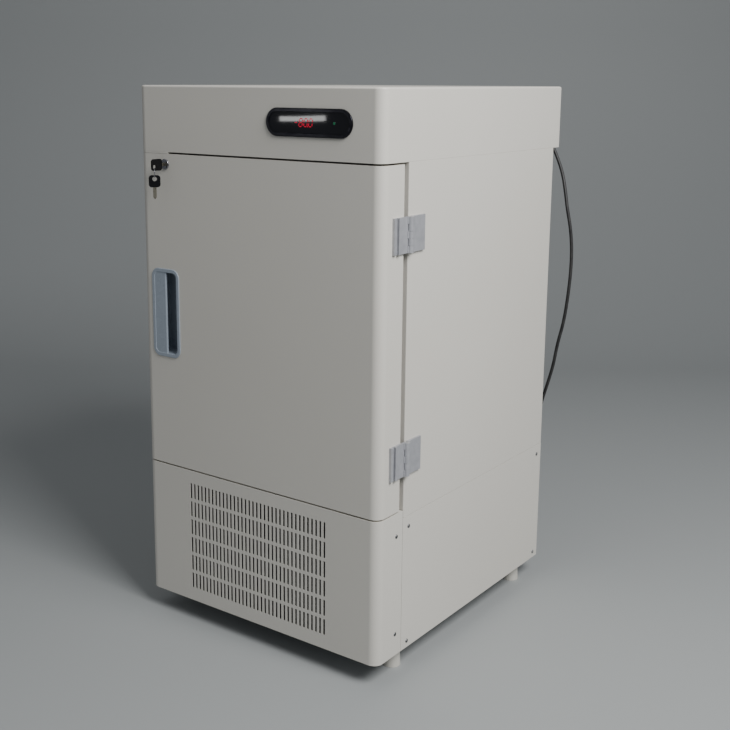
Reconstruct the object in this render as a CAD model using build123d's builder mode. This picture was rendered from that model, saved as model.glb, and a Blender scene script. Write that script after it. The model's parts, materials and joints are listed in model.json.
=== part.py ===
"""Small upright ultra low temperature freezer: painted steel cabinet, one outer door, two inner doors.

Millimetres. X runs to the right as seen from the front, Y runs to the back and Z up from the floor.
The origin is on the floor in the middle of the overall width and depth.
"""

from build123d import *
import math
import os

# Overall sizes
width = 600
body_depth = 660
hood_overhang = 26
total_height = 1125
corner_radius = 20
sheet = 1.2

# Bands of the cabinet: lower panels, door and hood
base_bottom = 46
side_panel_height = 275
front_panel_height = 290
door_gap = 3.5
hood_height = 131

# Door and the plane that its gasket seals on
door_depth = 69
seal_depth = 84
door_liner_wall = 3
door_plug_reach = 8
door_plug_gap = 9
door_plug_radius = 14
door_plug_taper = 3
door_plug_edge = 4
gasket_inset = 12
gasket_width = 28
gasket_waist = 4

# Storage chamber
side_insulation = 80
back_insulation = 101
chamber_margin = 65.5
liner_wall = 1.2
breaker_wall = 5
front_flange = 30
chamber_edge = 6

# Inner doors and the frame they close on
inner_door_wall = 30
inner_door_recess = 14
inner_door_side_gap = 4
inner_pivot_inset = 8
inner_door_end_gap = 0.5
inner_gasket_wall = 5
inner_gasket_width = 9
inner_gasket_inset = 10
inner_frame_wall = 10
inner_frame_width = 24
inner_bracket_wall = 4
inner_pin_radius = 3
inner_pin_reach = 16
pull_width = 22
pull_height = 80
pull_depth = 14
pull_inset = 34
pull_radius = 8
pull_taper = 8
inner_door_radius = 3

# Shelves
shelf_wall = 1.5
shelf_lip = 12
shelf_side_gap = 5
shelf_back_gap = 6
shelf_front_gap = 10
shelf_count = 3
shelf_slot_columns = 7
shelf_slot_rows = 4
shelf_slot_width = 12
shelf_slot_length = 60
shelf_side_land = 30
shelf_end_land = 20
rail_wall = 3
rail_width = 14
rail_inset = 50
clip_height = 10
clip_reach = 14

# Hood, window and control board
hood_edge_radius = 4
hood_front_flange = 90
hood_flange = 25
window_margin = 64
window_rise = 67
window_width = 197
window_height = 52
bezel_rim = 4
bezel_proud = 3
bezel_neck = 12
bezel_wall = 2.5
bezel_clearance = 0.3
lens_wall = 3
board_wall = 1.6
digit_block = (46, 20, 7)
digit_offset = -11.5
lamp_offset = 58
lamp_radius = 2.5
lamp_length = 6
control_board = (180, 120)
control_board_inset = 240
standoff_height = 12
standoff_radius = 3
standoff_inset = 8
transformer_place = (-47.5, -17.5)
transformer = (45, 45, 36)
relay_places = ((19, -30), (57, -30))
relay = (28, 20, 18)
terminal_place = (32.5, 37.5)
terminal_strip = (85, 15, 12)

# Lower front panel and its punched grille
front_panel_back = 82
panel_flange = 15
slot_columns = 36
slot_rows = 6
slot_pitch_x = 10
slot_pitch_z = 40
slot_width = 4.4
slot_height = 33
grille_rise = 146
side_panel_gap = 1
side_panel_headroom = 0.5

# Base frame and feet
pan_wall = 2
pan_rim = 25
post_side = 30
post_wall = 2
foot_side_inset = 34
foot_front_inset = 103
foot_back_inset = 61
foot_pad_radius = 17.5
foot_pad_height = 30
foot_taper = 3
foot_stud_radius = 5
foot_stud_reach = 14
foot_nut_radius = 9
foot_nut_height = 7

# Rear vent panel
vent_columns = 2
vent_rows = 12
vent_pitch = 14
vent_slot_length = 180
vent_slot_height = 5
vent_column_pitch = 240

# Hinges on the right side
lower_hinge_rise = 101
upper_hinge_drop = 126
hinge_height = 66
hinge_leaf_wall = 5
hinge_pivot_out = 6.3
hinge_pivot_depth = 82
hinge_knuckle_radius = 6
hinge_pin_radius = 2.5
hinge_pin_clearance = 0.05
hinge_knuckles = 5
hinge_knuckle_gap = 0.3
hinge_leaf_gap = 0.6
hinge_leaf_front = 32
hinge_leaf_back = 133
hinge_rib_width = 7
hinge_rib_proud = 2
hinge_groove_width = 4
hinge_groove_depth = 3

# Recessed handle
handle_inset = 66
handle_width = 76
handle_height = 185
handle_radius = 18
handle_rim = 5
handle_proud = 2
handle_wall = 2.5
handle_depth = 40
handle_taper = 6
lip_width = 34
lip_wall = 5
lip_set_back = 0.8
handle_clearance = 0.3
foam_clearance = 1

# Lock, key and spare key
lock_inset = 73
lock_drop = 20.5
lock_barrel_radius = 8
lock_collar_radius = 10.5
lock_collar_wall = 3
lock_plug_radius = 5.5
lock_plug_clearance = 0.08
lock_length = 24
cam_width = 9
cam_wall = 2.5
cam_reach = 38
cam_clearance = 2.5
lock_nut_radius = 12
lock_nut_wall = 4
lock_pocket_gap = 3
lock_plug_set_back = 0.5
key_neck = 10
key_blade_height = 7
key_blade_wall = 2
key_blade_length = 24
key_tip = 4
spare_blade_sink = 4
bow_length = 28
bow_height = 23
bow_wall = 3.4
bow_radius = 6
bow_hole_radius = 4.5
bow_hole_edge = 3
ring_radius = 9
ring_wire = 0.7
ring_turn = -45
spare_bow_width = 23
spare_bow_height = 24
strike_gap = 0.4
strike_reach = 8
strike_depth = 40

# Refrigeration unit
compressor_side_inset = 135
compressor_back_inset = 190
compressor_radius = 78
compressor_base_radius = 62
compressor_height = 165
compressor_bowl = 30
compressor_dome = 50
compressor_foot_wall = 3
relay_box = (34, 60, 65)
relay_box_sink = 8
relay_box_rise = 82
compressor_lift = 16
compressor_foot_side = 190
grommet_radius = 11
grommet_neck = 7
grommet_inset = 17
condenser_side_gap = 135
condenser_head_gap = 59
condenser_front = 18
condenser_depth = 48
condenser_fins = 26
condenser_fin_wall = 1.6
condenser_tube_radius = 4.5
condenser_tube_rows = 5
condenser_stub = 8
fan_rim_gap = 10
fan_hub_radius = 22
fan_hub_length = 18
fan_blades = 5
fan_blade_wall = 1.6
fan_blade_pitch = 28
blade_sink = 4
blade_tip_bulge = 4
blade_root_half = 7
blade_tip_lead = 9
blade_tip_trail = 13
fan_motor_gap = 4
shaft_sink = 5
fan_tip_clearance = 5
shroud_wall = 1.5
shroud_rise = 16
shroud_depth = 30
shroud_ring = 26
motor_radius = 38
motor_length = 52
motor_edge = 5
motor_strap = 6
motor_strap_depth = 16
bracket_leg = 16
shaft_radius = 3
shaft_clearance = 0.05
drier_side_inset = 100
drier_depth = 250
drier_bottom = 120
drier_radius = 12
drier_length = 90
drier_shoulder = 7
pipe_radius = 4
pipe_headroom = 34
pipe_sink = 2
pipe_stand_off = 28
suction_offset = 40
suction_rise = 28
suction_run = 110
discharge_rise = 70
discharge_run = 62
feed_run = 80
evaporator_loops = 4
evaporator_set_back = 60
evaporator_radius = 4.5
evaporator_margin = 85
evaporator_bend = 20
evaporator_groove_clearance = 0.5

# Mains cord behind the cabinet
cord_radius = 3.75
gland_side_inset = 85
gland_rise = 46
gland_length = 36
gland_shank = 12
gland_collar_radius = 12
gland_collar_length = 6
gland_root_radius = 8
gland_tip_radius = 5.2
coil_side_offset = 119
coil_set_back = 62
coil_radius = 41.25
coil_wide = 22.5
coil_high = 22.5
plug_body = (50, 36, 24)
plug_pin = (18, 6.3, 1.6)
plug_pin_places = ((-7, -4), (7, -4), (0, 6))
plug_radius = 7
plug_edge = 3
plug_relief_length = 24
tail_offset = 22
tail_length = 24

# Screw heads on the lower panels
screw_radius = 4
screw_head = 1.6
front_screw_inset = 21
front_screw_end = 45
side_screw_inset = 21
side_screw_low = 14
side_screw_high = 22


def depth(behind_front):
    """Y of a plane that lies this far behind the front face."""
    return front_y + behind_front


def front_plane(behind_front):
    """Upright plane parallel to the front, seen from the front."""
    return Plane.XZ.offset(-depth(behind_front))


def side_plane(x):
    """Upright plane parallel to the side, its first direction to the back."""
    return Plane(origin=(x, 0, 0), x_dir=(0, 1, 0), z_dir=(1, 0, 0))


def block(x, behind, z, mode=Mode.ADD):
    """Box between two values of x, two depths behind the front face and two heights."""
    middle = ((x[0] + x[1]) / 2, depth((behind[0] + behind[1]) / 2), (z[0] + z[1]) / 2)
    with Locations(middle):
        Box(abs(x[1] - x[0]), behind[1] - behind[0], z[1] - z[0], mode=mode)


def wrapped_plan(inset, back):
    """Plan of a panel wrapped round the two front corners, inset from the outer faces."""
    with Locations((0, depth((inset + back) / 2))):
        Rectangle(width - 2 * inset, back - inset)
    fillet(vertices().group_by(Axis.Y)[0], corner_radius - inset)


def drilled(x, behind, z, radius, length, direction=(0, 0, 1), mode=Mode.ADD):
    """Round bar or bore that starts at a point and runs along a direction."""
    with Locations(Plane(origin=(x, depth(behind), z), z_dir=direction).location):
        Cylinder(radius, length, align=(Align.CENTER, Align.CENTER, Align.MIN), mode=mode)


half_width = width / 2
hood_depth = body_depth + hood_overhang
front_y = -(hood_depth - key_neck - bow_length) / 2
hood_bottom = total_height - hood_height
side_panel_top = base_bottom + side_panel_height
front_panel_top = base_bottom + front_panel_height
door_bottom = front_panel_top + door_gap
door_top = hood_bottom - door_gap
door_height = door_top - door_bottom
door_middle = (door_top + door_bottom) / 2
hinge_x = half_width + hinge_pivot_out
hinge_heights = (door_bottom + lower_hinge_rise, door_top - upper_hinge_drop)
handle_x = -half_width + handle_inset
handle_z = door_middle
lock_x = -half_width + lock_inset
lock_z = door_top - lock_drop
window_x = half_width - window_margin - window_width / 2
window_z = hood_bottom + window_rise
gland_x = half_width - gland_side_inset
gland_z = hood_bottom + gland_rise
chamber_half = half_width - side_insulation
chamber_width = 2 * chamber_half
chamber_bottom = door_bottom + chamber_margin
chamber_top = door_top - chamber_margin
chamber_middle = (chamber_bottom + chamber_top) / 2
chamber_back = body_depth - back_insulation
breaker_back = seal_depth + breaker_wall
inner_door_front = seal_depth + inner_door_recess
inner_door_back = inner_door_front + inner_door_wall
inner_frame_front = inner_door_back + inner_gasket_wall
shelf_half = chamber_half - shelf_side_gap
shelf_front = inner_frame_front + inner_frame_wall + shelf_front_gap
shelf_back = chamber_back - shelf_back_gap
shelf_pitch = (chamber_top - chamber_bottom) / (shelf_count + 1)
shelf_heights = [chamber_bottom + shelf_pitch * (i + 1) for i in range(shelf_count)]
rail_depths = (shelf_front + rail_inset, shelf_back - rail_inset)
flange_opening = half_width - front_flange
cam_front = lock_length + 2 * cam_clearance
cam_back = cam_front + cam_wall
strike_right = lock_x + strike_reach
cam_slot_x = (lock_x - cam_reach, strike_right)
cam_slot_depths = (cam_front - cam_clearance, cam_back + cam_clearance)

# Hood: one folded cover, open below, with a rolled flange that rests on the cabinet
with BuildPart() as hood:
    with BuildSketch(Plane.XY.offset(hood_bottom)):
        wrapped_plan(0, hood_depth)
    extrude(amount=hood_height)
    fillet(faces().sort_by(Axis.Z)[-1].edges(), hood_edge_radius)
    with BuildSketch(Plane.XY.offset(hood_bottom + sheet)):
        wrapped_plan(sheet, hood_depth - sheet)
    extrude(amount=hood_height - 2 * sheet, mode=Mode.SUBTRACT)
    block(
        (-half_width + hood_flange, half_width - hood_flange),
        (hood_front_flange, body_depth - hood_flange),
        (hood_bottom, hood_bottom + sheet),
        mode=Mode.SUBTRACT,
    )
    with BuildSketch(front_plane(0)):
        with Locations((window_x, window_z)):
            SlotOverall(
                window_width - 2 * bezel_rim + 2 * bezel_clearance,
                window_height - 2 * bezel_rim + 2 * bezel_clearance,
            )
    extrude(amount=-sheet, mode=Mode.SUBTRACT)
    drilled(gland_x, hood_depth - sheet, gland_z, gland_root_radius, sheet, (0, 1, 0), Mode.SUBTRACT)
    block(
        cam_slot_x,
        cam_slot_depths,
        (hood_bottom, hood_bottom + sheet),
        mode=Mode.SUBTRACT,
    )

# Bright moulded ring round the window, with a neck through the hood and a ledge for the lens
neck_width = window_width - 2 * bezel_rim
neck_height = window_height - 2 * bezel_rim
with BuildPart() as display_bezel:
    with BuildSketch(front_plane(0)):
        with Locations((window_x, window_z)):
            SlotOverall(window_width, window_height)
    extrude(amount=bezel_proud)
    fillet(faces().sort_by(Axis.Y)[0].edges(), bezel_proud * 0.45)
    with BuildSketch(front_plane(0)):
        with Locations((window_x, window_z)):
            SlotOverall(neck_width, neck_height)
    extrude(amount=-bezel_neck)
    with BuildSketch(front_plane(-bezel_proud)):
        with Locations((window_x, window_z)):
            SlotOverall(neck_width - 2 * bezel_wall, neck_height - 2 * bezel_wall)
    extrude(amount=-(bezel_proud + lens_wall), mode=Mode.SUBTRACT)
    with BuildSketch(front_plane(lens_wall)):
        with Locations((window_x, window_z)):
            SlotOverall(neck_width - 4 * bezel_wall, neck_height - 4 * bezel_wall)
    extrude(amount=-(bezel_neck - lens_wall), mode=Mode.SUBTRACT)

# Smoked lens that drops into the ring against its ledge
with BuildPart() as display_lens:
    with BuildSketch(front_plane(lens_wall)):
        with Locations((window_x, window_z)):
            SlotOverall(
                neck_width - 2 * bezel_wall - 2 * bezel_clearance,
                neck_height - 2 * bezel_wall - 2 * bezel_clearance,
            )
    extrude(amount=lens_wall + bezel_proud / 2)

# Indicator board on the back of the ring, with its block of digits and one lamp
digit_x = window_x + digit_offset
with BuildPart() as display_board:
    with BuildSketch(front_plane(bezel_neck)):
        with Locations((window_x, window_z)):
            SlotOverall(neck_width, neck_height)
    extrude(amount=-board_wall)
    block(
        (digit_x - digit_block[0] / 2, digit_x + digit_block[0] / 2),
        (bezel_neck - digit_block[2], bezel_neck),
        (window_z - digit_block[1] / 2, window_z + digit_block[1] / 2),
    )
    drilled(window_x + lamp_offset, bezel_neck, window_z, lamp_radius, lamp_length, (0, -1, 0))

# Control board on standoffs on top of the cabinet, under the hood
board_y = depth(body_depth - control_board_inset)
board_top = hood_bottom + standoff_height + board_wall
with BuildPart() as control_unit:
    with Locations((0, board_y, board_top - board_wall / 2)):
        Box(*control_board, board_wall)
    with BuildSketch(Plane.XY.offset(hood_bottom)):
        with Locations((0, board_y)):
            with GridLocations(
                control_board[0] - 2 * standoff_inset, control_board[1] - 2 * standoff_inset, 2, 2
            ):
                Circle(standoff_radius)
    extrude(amount=standoff_height)
    with Locations((transformer_place[0], board_y + transformer_place[1], board_top)):
        Box(*transformer, align=(Align.CENTER, Align.CENTER, Align.MIN))
    with Locations(*[(x, board_y + y, board_top) for x, y in relay_places]):
        Box(*relay, align=(Align.CENTER, Align.CENTER, Align.MIN))
    with Locations((terminal_place[0], board_y + terminal_place[1], board_top)):
        Box(*terminal_strip, align=(Align.CENTER, Align.CENTER, Align.MIN))

# Filler and strike under the hood, where the lock's cam comes up
with BuildPart() as lock_strike:
    with BuildSketch(Plane.XY.offset(door_top + strike_gap)):
        wrapped_plan(0, strike_depth)
        with Locations(((strike_right + half_width) / 2, depth(strike_depth / 2))):
            Rectangle(half_width - strike_right, strike_depth, mode=Mode.SUBTRACT)
    extrude(amount=door_gap - strike_gap)
    block(
        cam_slot_x,
        cam_slot_depths,
        (door_top, hood_bottom),
        mode=Mode.SUBTRACT,
    )

# Outer cabinet: folded sheet box with a flange round its open front
with BuildPart() as cabinet_shell:
    block((-half_width, half_width), (seal_depth, body_depth), (side_panel_top, hood_bottom))
    fillet(edges().filter_by(Axis.Z), sheet * 1.5)
    block(
        (-half_width + sheet, half_width - sheet),
        (seal_depth + sheet, body_depth - sheet),
        (side_panel_top + sheet, hood_bottom - sheet),
        mode=Mode.SUBTRACT,
    )
    block(
        (-flange_opening, flange_opening),
        (seal_depth, seal_depth + sheet),
        (side_panel_top + front_flange, hood_bottom - front_flange),
        mode=Mode.SUBTRACT,
    )

# Plastic breaker frame between the outer flange and the chamber's liner
with BuildPart() as breaker_frame:
    block(
        (-flange_opening, flange_opening),
        (seal_depth, breaker_back),
        (side_panel_top + front_flange, hood_bottom - front_flange),
    )
    with BuildSketch(front_plane(seal_depth)):
        with Locations((0, chamber_middle)):
            RectangleRounded(chamber_width, chamber_top - chamber_bottom, chamber_edge)
    extrude(amount=-breaker_wall, mode=Mode.SUBTRACT)

# Stainless liner: one deep box, open at the front
with BuildPart() as inner_liner:
    with BuildSketch(front_plane(breaker_back)):
        with Locations((0, chamber_middle)):
            RectangleRounded(
                chamber_width + 2 * liner_wall,
                chamber_top - chamber_bottom + 2 * liner_wall,
                chamber_edge + liner_wall,
            )
    extrude(amount=-(chamber_back + liner_wall - breaker_back))
    fillet(edges().filter_by(Axis.Z).sort_by(Axis.Y)[-2:], evaporator_bend - evaporator_radius)
    offset(amount=-liner_wall, openings=faces().sort_by(Axis.Y)[0])

# Evaporator: loops of tube wound round the liner inside the foam
tube_half = chamber_half + liner_wall + evaporator_radius
tube_front = breaker_back + evaporator_set_back
tube_back = chamber_back + liner_wall + evaporator_radius
loop_span = chamber_top - chamber_bottom - 2 * evaporator_margin
loop_pitch = loop_span / (evaporator_loops - 1)
loop_heights = [chamber_bottom + evaporator_margin + loop_pitch * i for i in range(evaporator_loops)]
with BuildPart() as evaporator:
    for z in loop_heights:
        with BuildLine(Plane.XY.offset(z)) as loop:
            FilletPolyline(
                (-tube_half, depth(tube_front)),
                (-tube_half, depth(tube_back)),
                (tube_half, depth(tube_back)),
                (tube_half, depth(tube_front)),
                radius=evaporator_bend,
            )
        with BuildSketch(Plane(loop.line @ 0, z_dir=loop.line % 0)):
            Circle(evaporator_radius)
        sweep(path=loop.line)

# Foam that fills the cabinet round the liner
groove = evaporator_radius + evaporator_groove_clearance
with BuildPart() as cabinet_foam:
    block(
        (-half_width + sheet, half_width - sheet),
        (seal_depth + sheet, body_depth - sheet),
        (side_panel_top + sheet, hood_bottom - sheet),
    )
    block(
        (-flange_opening, flange_opening),
        (seal_depth, breaker_back),
        (side_panel_top + front_flange, hood_bottom - front_flange),
        mode=Mode.SUBTRACT,
    )
    with BuildSketch(front_plane(breaker_back)):
        with Locations((0, chamber_middle)):
            RectangleRounded(
                chamber_width + 2 * liner_wall,
                chamber_top - chamber_bottom + 2 * liner_wall,
                chamber_edge + liner_wall,
            )
    extrude(amount=-(chamber_back + liner_wall - breaker_back), mode=Mode.SUBTRACT)
    for z in loop_heights:
        block(
            (-tube_half - groove, tube_half + groove),
            (tube_front - groove, tube_back + groove),
            (z - groove, z + groove),
            mode=Mode.SUBTRACT,
        )

# Slotted rails on the liner's sides, clips on the rails and shelves on the clips
with BuildPart() as shelf_rails:
    for side in (-1, 1):
        for behind in rail_depths:
            block(
                (side * (chamber_half - rail_wall), side * chamber_half),
                (behind - rail_width / 2, behind + rail_width / 2),
                (chamber_bottom + chamber_edge, chamber_top - chamber_edge),
            )

with BuildPart() as shelf_clips:
    for side in (-1, 1):
        for behind in rail_depths:
            for z in shelf_heights:
                face = chamber_half - rail_wall
                with BuildSketch(Plane.XZ.offset(-depth(behind - rail_width / 2))):
                    with BuildLine():
                        Polyline(
                            (side * face, z),
                            (side * (face - clip_reach), z),
                            (side * (face - clip_reach), z - clip_height / 3),
                            (side * face, z - clip_height),
                            (side * face, z),
                        )
                    make_face()
                extrude(amount=-rail_width)

shelf_slot_pitch_x = (2 * shelf_half - 2 * shelf_side_land) / shelf_slot_columns
shelf_slot_pitch_y = (shelf_back - shelf_front - 2 * shelf_end_land) / shelf_slot_rows


def folded_shelf(z):
    """Stainless shelf with turned-down edges and rows of air slots, cut clear of the rails."""
    with BuildPart() as shelf:
        block((-shelf_half, shelf_half), (shelf_front, shelf_back), (z, z + shelf_lip))
        block(
            (-shelf_half + shelf_wall, shelf_half - shelf_wall),
            (shelf_front + shelf_wall, shelf_back - shelf_wall),
            (z + shelf_wall, z + shelf_lip),
            mode=Mode.SUBTRACT,
        )
        with BuildSketch(Plane.XY.offset(z)):
            with Locations((0, depth((shelf_front + shelf_back) / 2))):
                with GridLocations(
                    shelf_slot_pitch_x, shelf_slot_pitch_y, shelf_slot_columns, shelf_slot_rows
                ):
                    Rectangle(shelf_slot_width, shelf_slot_length)
        extrude(amount=shelf_wall, mode=Mode.SUBTRACT)
    return shelf


shelf_lower, shelf_middle, shelf_upper = [folded_shelf(z) for z in shelf_heights]

# Frame inside the mouth that the two inner doors close on, with a bar between them
with BuildPart() as inner_frame:
    with BuildSketch(front_plane(inner_frame_front)):
        with Locations((0, chamber_middle)):
            RectangleRounded(chamber_width, chamber_top - chamber_bottom, chamber_edge)
        opening_height = (chamber_top - chamber_bottom) / 2 - 1.5 * inner_frame_width
        for side in (-1, 1):
            with Locations((0, chamber_middle + side * (opening_height + inner_frame_width) / 2)):
                Rectangle(
                    chamber_width - 2 * inner_frame_width, opening_height, mode=Mode.SUBTRACT
                )
    extrude(amount=-inner_frame_wall)

# Brackets and pins that carry the inner doors on the right
inner_pivot_x = chamber_half - inner_door_side_gap - inner_pivot_inset
inner_pivot_depth = inner_door_front + inner_pivot_inset
bracket_heights = (
    chamber_bottom,
    chamber_middle - inner_bracket_wall / 2,
    chamber_top - inner_bracket_wall,
)
with BuildPart() as inner_hinge_brackets:
    for z in bracket_heights:
        block(
            (inner_pivot_x - inner_pivot_inset, chamber_half - chamber_edge),
            (inner_door_front, inner_frame_front),
            (z, z + inner_bracket_wall),
        )
        drilled(
            inner_pivot_x,
            inner_pivot_depth,
            z,
            inner_pin_radius,
            inner_bracket_wall,
            mode=Mode.SUBTRACT,
        )

with BuildPart() as inner_hinge_pins:
    for z, down, up in zip(bracket_heights, (0, 1, 1), (1, 1, 0)):
        drilled(
            inner_pivot_x,
            inner_pivot_depth,
            z - down * inner_pin_reach,
            inner_pin_radius,
            inner_bracket_wall + (down + up) * inner_pin_reach,
        )

inner_door_half = chamber_half - inner_door_side_gap
inner_door_spans = (
    (
        bracket_heights[0] + inner_bracket_wall + inner_door_end_gap,
        bracket_heights[1] - inner_door_end_gap,
    ),
    (
        bracket_heights[1] + inner_bracket_wall + inner_door_end_gap,
        bracket_heights[2] - inner_door_end_gap,
    ),
)


def inner_door(span):
    """Moulded inner door with a finger pull, rounded about its pivot on the right."""
    with BuildPart() as door:
        block((-inner_door_half, inner_door_half), (inner_door_front, inner_door_back), span)
        fillet(
            edges().filter_by(Axis.Z).group_by(Axis.Y)[0].sort_by(Axis.X)[-1], inner_pivot_inset
        )
        fillet(edges().filter_by(Axis.Z).sort_by(Axis.X)[0:2], inner_door_radius)
        for z in (span[0], span[1] - inner_pin_reach):
            drilled(
                inner_pivot_x,
                inner_pivot_depth,
                z,
                inner_pin_radius + hinge_pin_clearance,
                inner_pin_reach,
                mode=Mode.SUBTRACT,
            )
        with BuildSketch(front_plane(inner_door_front)):
            with Locations((-inner_door_half + pull_inset, sum(span) / 2)):
                RectangleRounded(pull_width, pull_height, pull_radius)
        extrude(amount=-pull_depth, taper=pull_taper, mode=Mode.SUBTRACT)
    return door


def inner_gasket(span):
    """Ring of soft seal on the back of an inner door."""
    seal_width = 2 * (inner_door_half - inner_gasket_inset)
    seal_height = span[1] - span[0] - 2 * inner_gasket_inset
    with BuildPart() as seal:
        with BuildSketch(front_plane(inner_door_back)):
            with Locations((0, sum(span) / 2)):
                Rectangle(seal_width, seal_height)
                Rectangle(
                    seal_width - 2 * inner_gasket_width,
                    seal_height - 2 * inner_gasket_width,
                    mode=Mode.SUBTRACT,
                )
        extrude(amount=-inner_gasket_wall)
    return seal


inner_door_lower, inner_door_upper = [inner_door(span) for span in inner_door_spans]
inner_gasket_lower, inner_gasket_upper = [inner_gasket(span) for span in inner_door_spans]

# Outer door: a wrapped steel pan, open at the back
with BuildPart() as door_skin:
    with BuildSketch(Plane.XY.offset(door_bottom)):
        wrapped_plan(0, door_depth)
    extrude(amount=door_height)
    with BuildSketch(Plane.XY.offset(door_bottom + sheet)):
        wrapped_plan(sheet, door_depth)
    extrude(amount=door_height - 2 * sheet, mode=Mode.SUBTRACT)
    with BuildSketch(front_plane(0)):
        with Locations((handle_x, handle_z)):
            RectangleRounded(
                handle_width - 2 * handle_rim + 2 * handle_clearance,
                handle_height - 2 * handle_rim + 2 * handle_clearance,
                handle_radius - handle_rim,
            )
        with Locations((lock_x, lock_z)):
            Circle(lock_barrel_radius)
    extrude(amount=-sheet, mode=Mode.SUBTRACT)
    block(
        cam_slot_x,
        cam_slot_depths,
        (door_top - sheet, door_top),
        mode=Mode.SUBTRACT,
    )

# Inner face of the door: formed panel with a raised plug that enters the mouth
plug_half = chamber_half - door_plug_gap
plug_height = chamber_top - chamber_bottom - 2 * door_plug_gap
plug_back = seal_depth + door_plug_reach
with BuildPart() as door_liner:
    block(
        (-half_width + sheet, half_width - sheet),
        (door_depth - door_liner_wall, door_depth),
        (door_bottom + sheet, door_top - sheet),
    )
    with BuildSketch(front_plane(door_depth)):
        with Locations((0, chamber_middle)):
            RectangleRounded(2 * plug_half, plug_height, door_plug_radius)
    extrude(amount=-(plug_back - door_depth), taper=door_plug_taper)
    fillet(faces().sort_by(Axis.Y)[-1].edges(), door_plug_edge)
    with BuildSketch(front_plane(door_depth - door_liner_wall)):
        with Locations((0, chamber_middle)):
            RectangleRounded(
                2 * (plug_half - door_liner_wall),
                plug_height - 2 * door_liner_wall,
                door_plug_radius - door_liner_wall,
            )
    extrude(amount=-(plug_back - door_depth), taper=door_plug_taper, mode=Mode.SUBTRACT)

# Foam that fills the door, with pockets for the handle and the lock
pocket_width = handle_width - 2 * handle_rim + 2 * foam_clearance
pocket_height = handle_height - 2 * handle_rim + 2 * foam_clearance
with BuildPart() as door_foam:
    with BuildSketch(Plane.XY.offset(door_bottom + sheet)):
        wrapped_plan(sheet, door_depth - door_liner_wall)
    extrude(amount=door_height - 2 * sheet)
    with BuildSketch(front_plane(door_depth - door_liner_wall)):
        with Locations((0, chamber_middle)):
            RectangleRounded(
                2 * (plug_half - door_liner_wall),
                plug_height - 2 * door_liner_wall,
                door_plug_radius - door_liner_wall,
            )
    extrude(amount=-(plug_back - door_depth), taper=door_plug_taper)
    block(
        (handle_x - pocket_width / 2, handle_x + pocket_width / 2),
        (0, handle_depth + foam_clearance),
        (handle_z - pocket_height / 2, handle_z + pocket_height / 2),
        mode=Mode.SUBTRACT,
    )
    block(
        (lock_x - cam_reach - lock_pocket_gap, lock_x + lock_nut_radius + lock_pocket_gap),
        (0, cam_back + lock_pocket_gap),
        (lock_z - lock_nut_radius - lock_pocket_gap, door_top),
        mode=Mode.SUBTRACT,
    )

# Bellows gasket round the door, three layers with a narrow waist
with BuildPart() as door_gasket:
    layer = (seal_depth - door_depth) / 3
    for index in range(3):
        trim = gasket_waist if index == 1 else 0
        with BuildSketch(front_plane(door_depth + index * layer)):
            with Locations((0, door_middle)):
                Rectangle(
                    width - 2 * (gasket_inset + trim), door_height - 2 * (gasket_inset + trim)
                )
                Rectangle(
                    width - 2 * (gasket_inset + gasket_width - trim),
                    door_height - 2 * (gasket_inset + gasket_width - trim),
                    mode=Mode.SUBTRACT,
                )
        extrude(amount=-layer)

# Recessed handle: a moulded tub behind a rim, with a grip lip over its left half
tub_width = handle_width - 2 * handle_rim
tub_height = handle_height - 2 * handle_rim
tub_radius = handle_radius - handle_rim
with BuildPart() as handle_cup:
    with BuildSketch(front_plane(0)):
        with Locations((handle_x, handle_z)):
            RectangleRounded(handle_width, handle_height, handle_radius)
    extrude(amount=handle_proud)
    fillet(faces().sort_by(Axis.Y)[0].edges(), handle_proud * 0.6)
    with BuildSketch(front_plane(0)):
        with Locations((handle_x, handle_z)):
            RectangleRounded(tub_width, tub_height, tub_radius)
    extrude(amount=-handle_depth, taper=handle_taper)
    with BuildSketch(front_plane(-handle_proud)):
        with Locations((handle_x, handle_z)):
            RectangleRounded(
                tub_width - 2 * handle_wall, tub_height - 2 * handle_wall, tub_radius - handle_wall
            )
    extrude(amount=-(handle_depth + handle_proud - handle_wall), taper=handle_taper, mode=Mode.SUBTRACT)
    lip_left = handle_x - tub_width / 2
    with BuildSketch(front_plane(lip_set_back - handle_proud)):
        with Locations((handle_x, handle_z)):
            RectangleRounded(tub_width - handle_wall, tub_height - handle_wall, tub_radius)
        with Locations((lip_left + lip_width + tub_width / 2, handle_z)):
            Rectangle(tub_width, tub_height, mode=Mode.SUBTRACT)
    extrude(amount=-lip_wall)
    lip_edges = edges().filter_by(Axis.Z).filter_by_position(
        Axis.X, lip_left + lip_width - 0.1, lip_left + lip_width + 0.1
    )
    fillet(lip_edges, lip_wall * 0.4)

# Lock barrel with its collar and nut, and the turning plug, cam and key
with BuildPart() as lock_barrel:
    drilled(lock_x, 0, lock_z, lock_collar_radius, lock_collar_wall, (0, -1, 0))
    fillet(faces().sort_by(Axis.Y)[0].edges(), lock_collar_wall * 0.5)
    drilled(lock_x, 0, lock_z, lock_barrel_radius, lock_length, (0, 1, 0))
    drilled(
        lock_x,
        -lock_collar_wall,
        lock_z,
        lock_plug_radius + lock_plug_clearance,
        lock_length + lock_collar_wall,
        (0, 1, 0),
        Mode.SUBTRACT,
    )
with BuildPart() as lock_nut:
    with BuildSketch(front_plane(sheet)):
        with Locations((lock_x, lock_z)):
            RegularPolygon(lock_nut_radius, 6)
            Circle(lock_barrel_radius, mode=Mode.SUBTRACT)
    extrude(amount=-lock_nut_wall)

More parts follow.
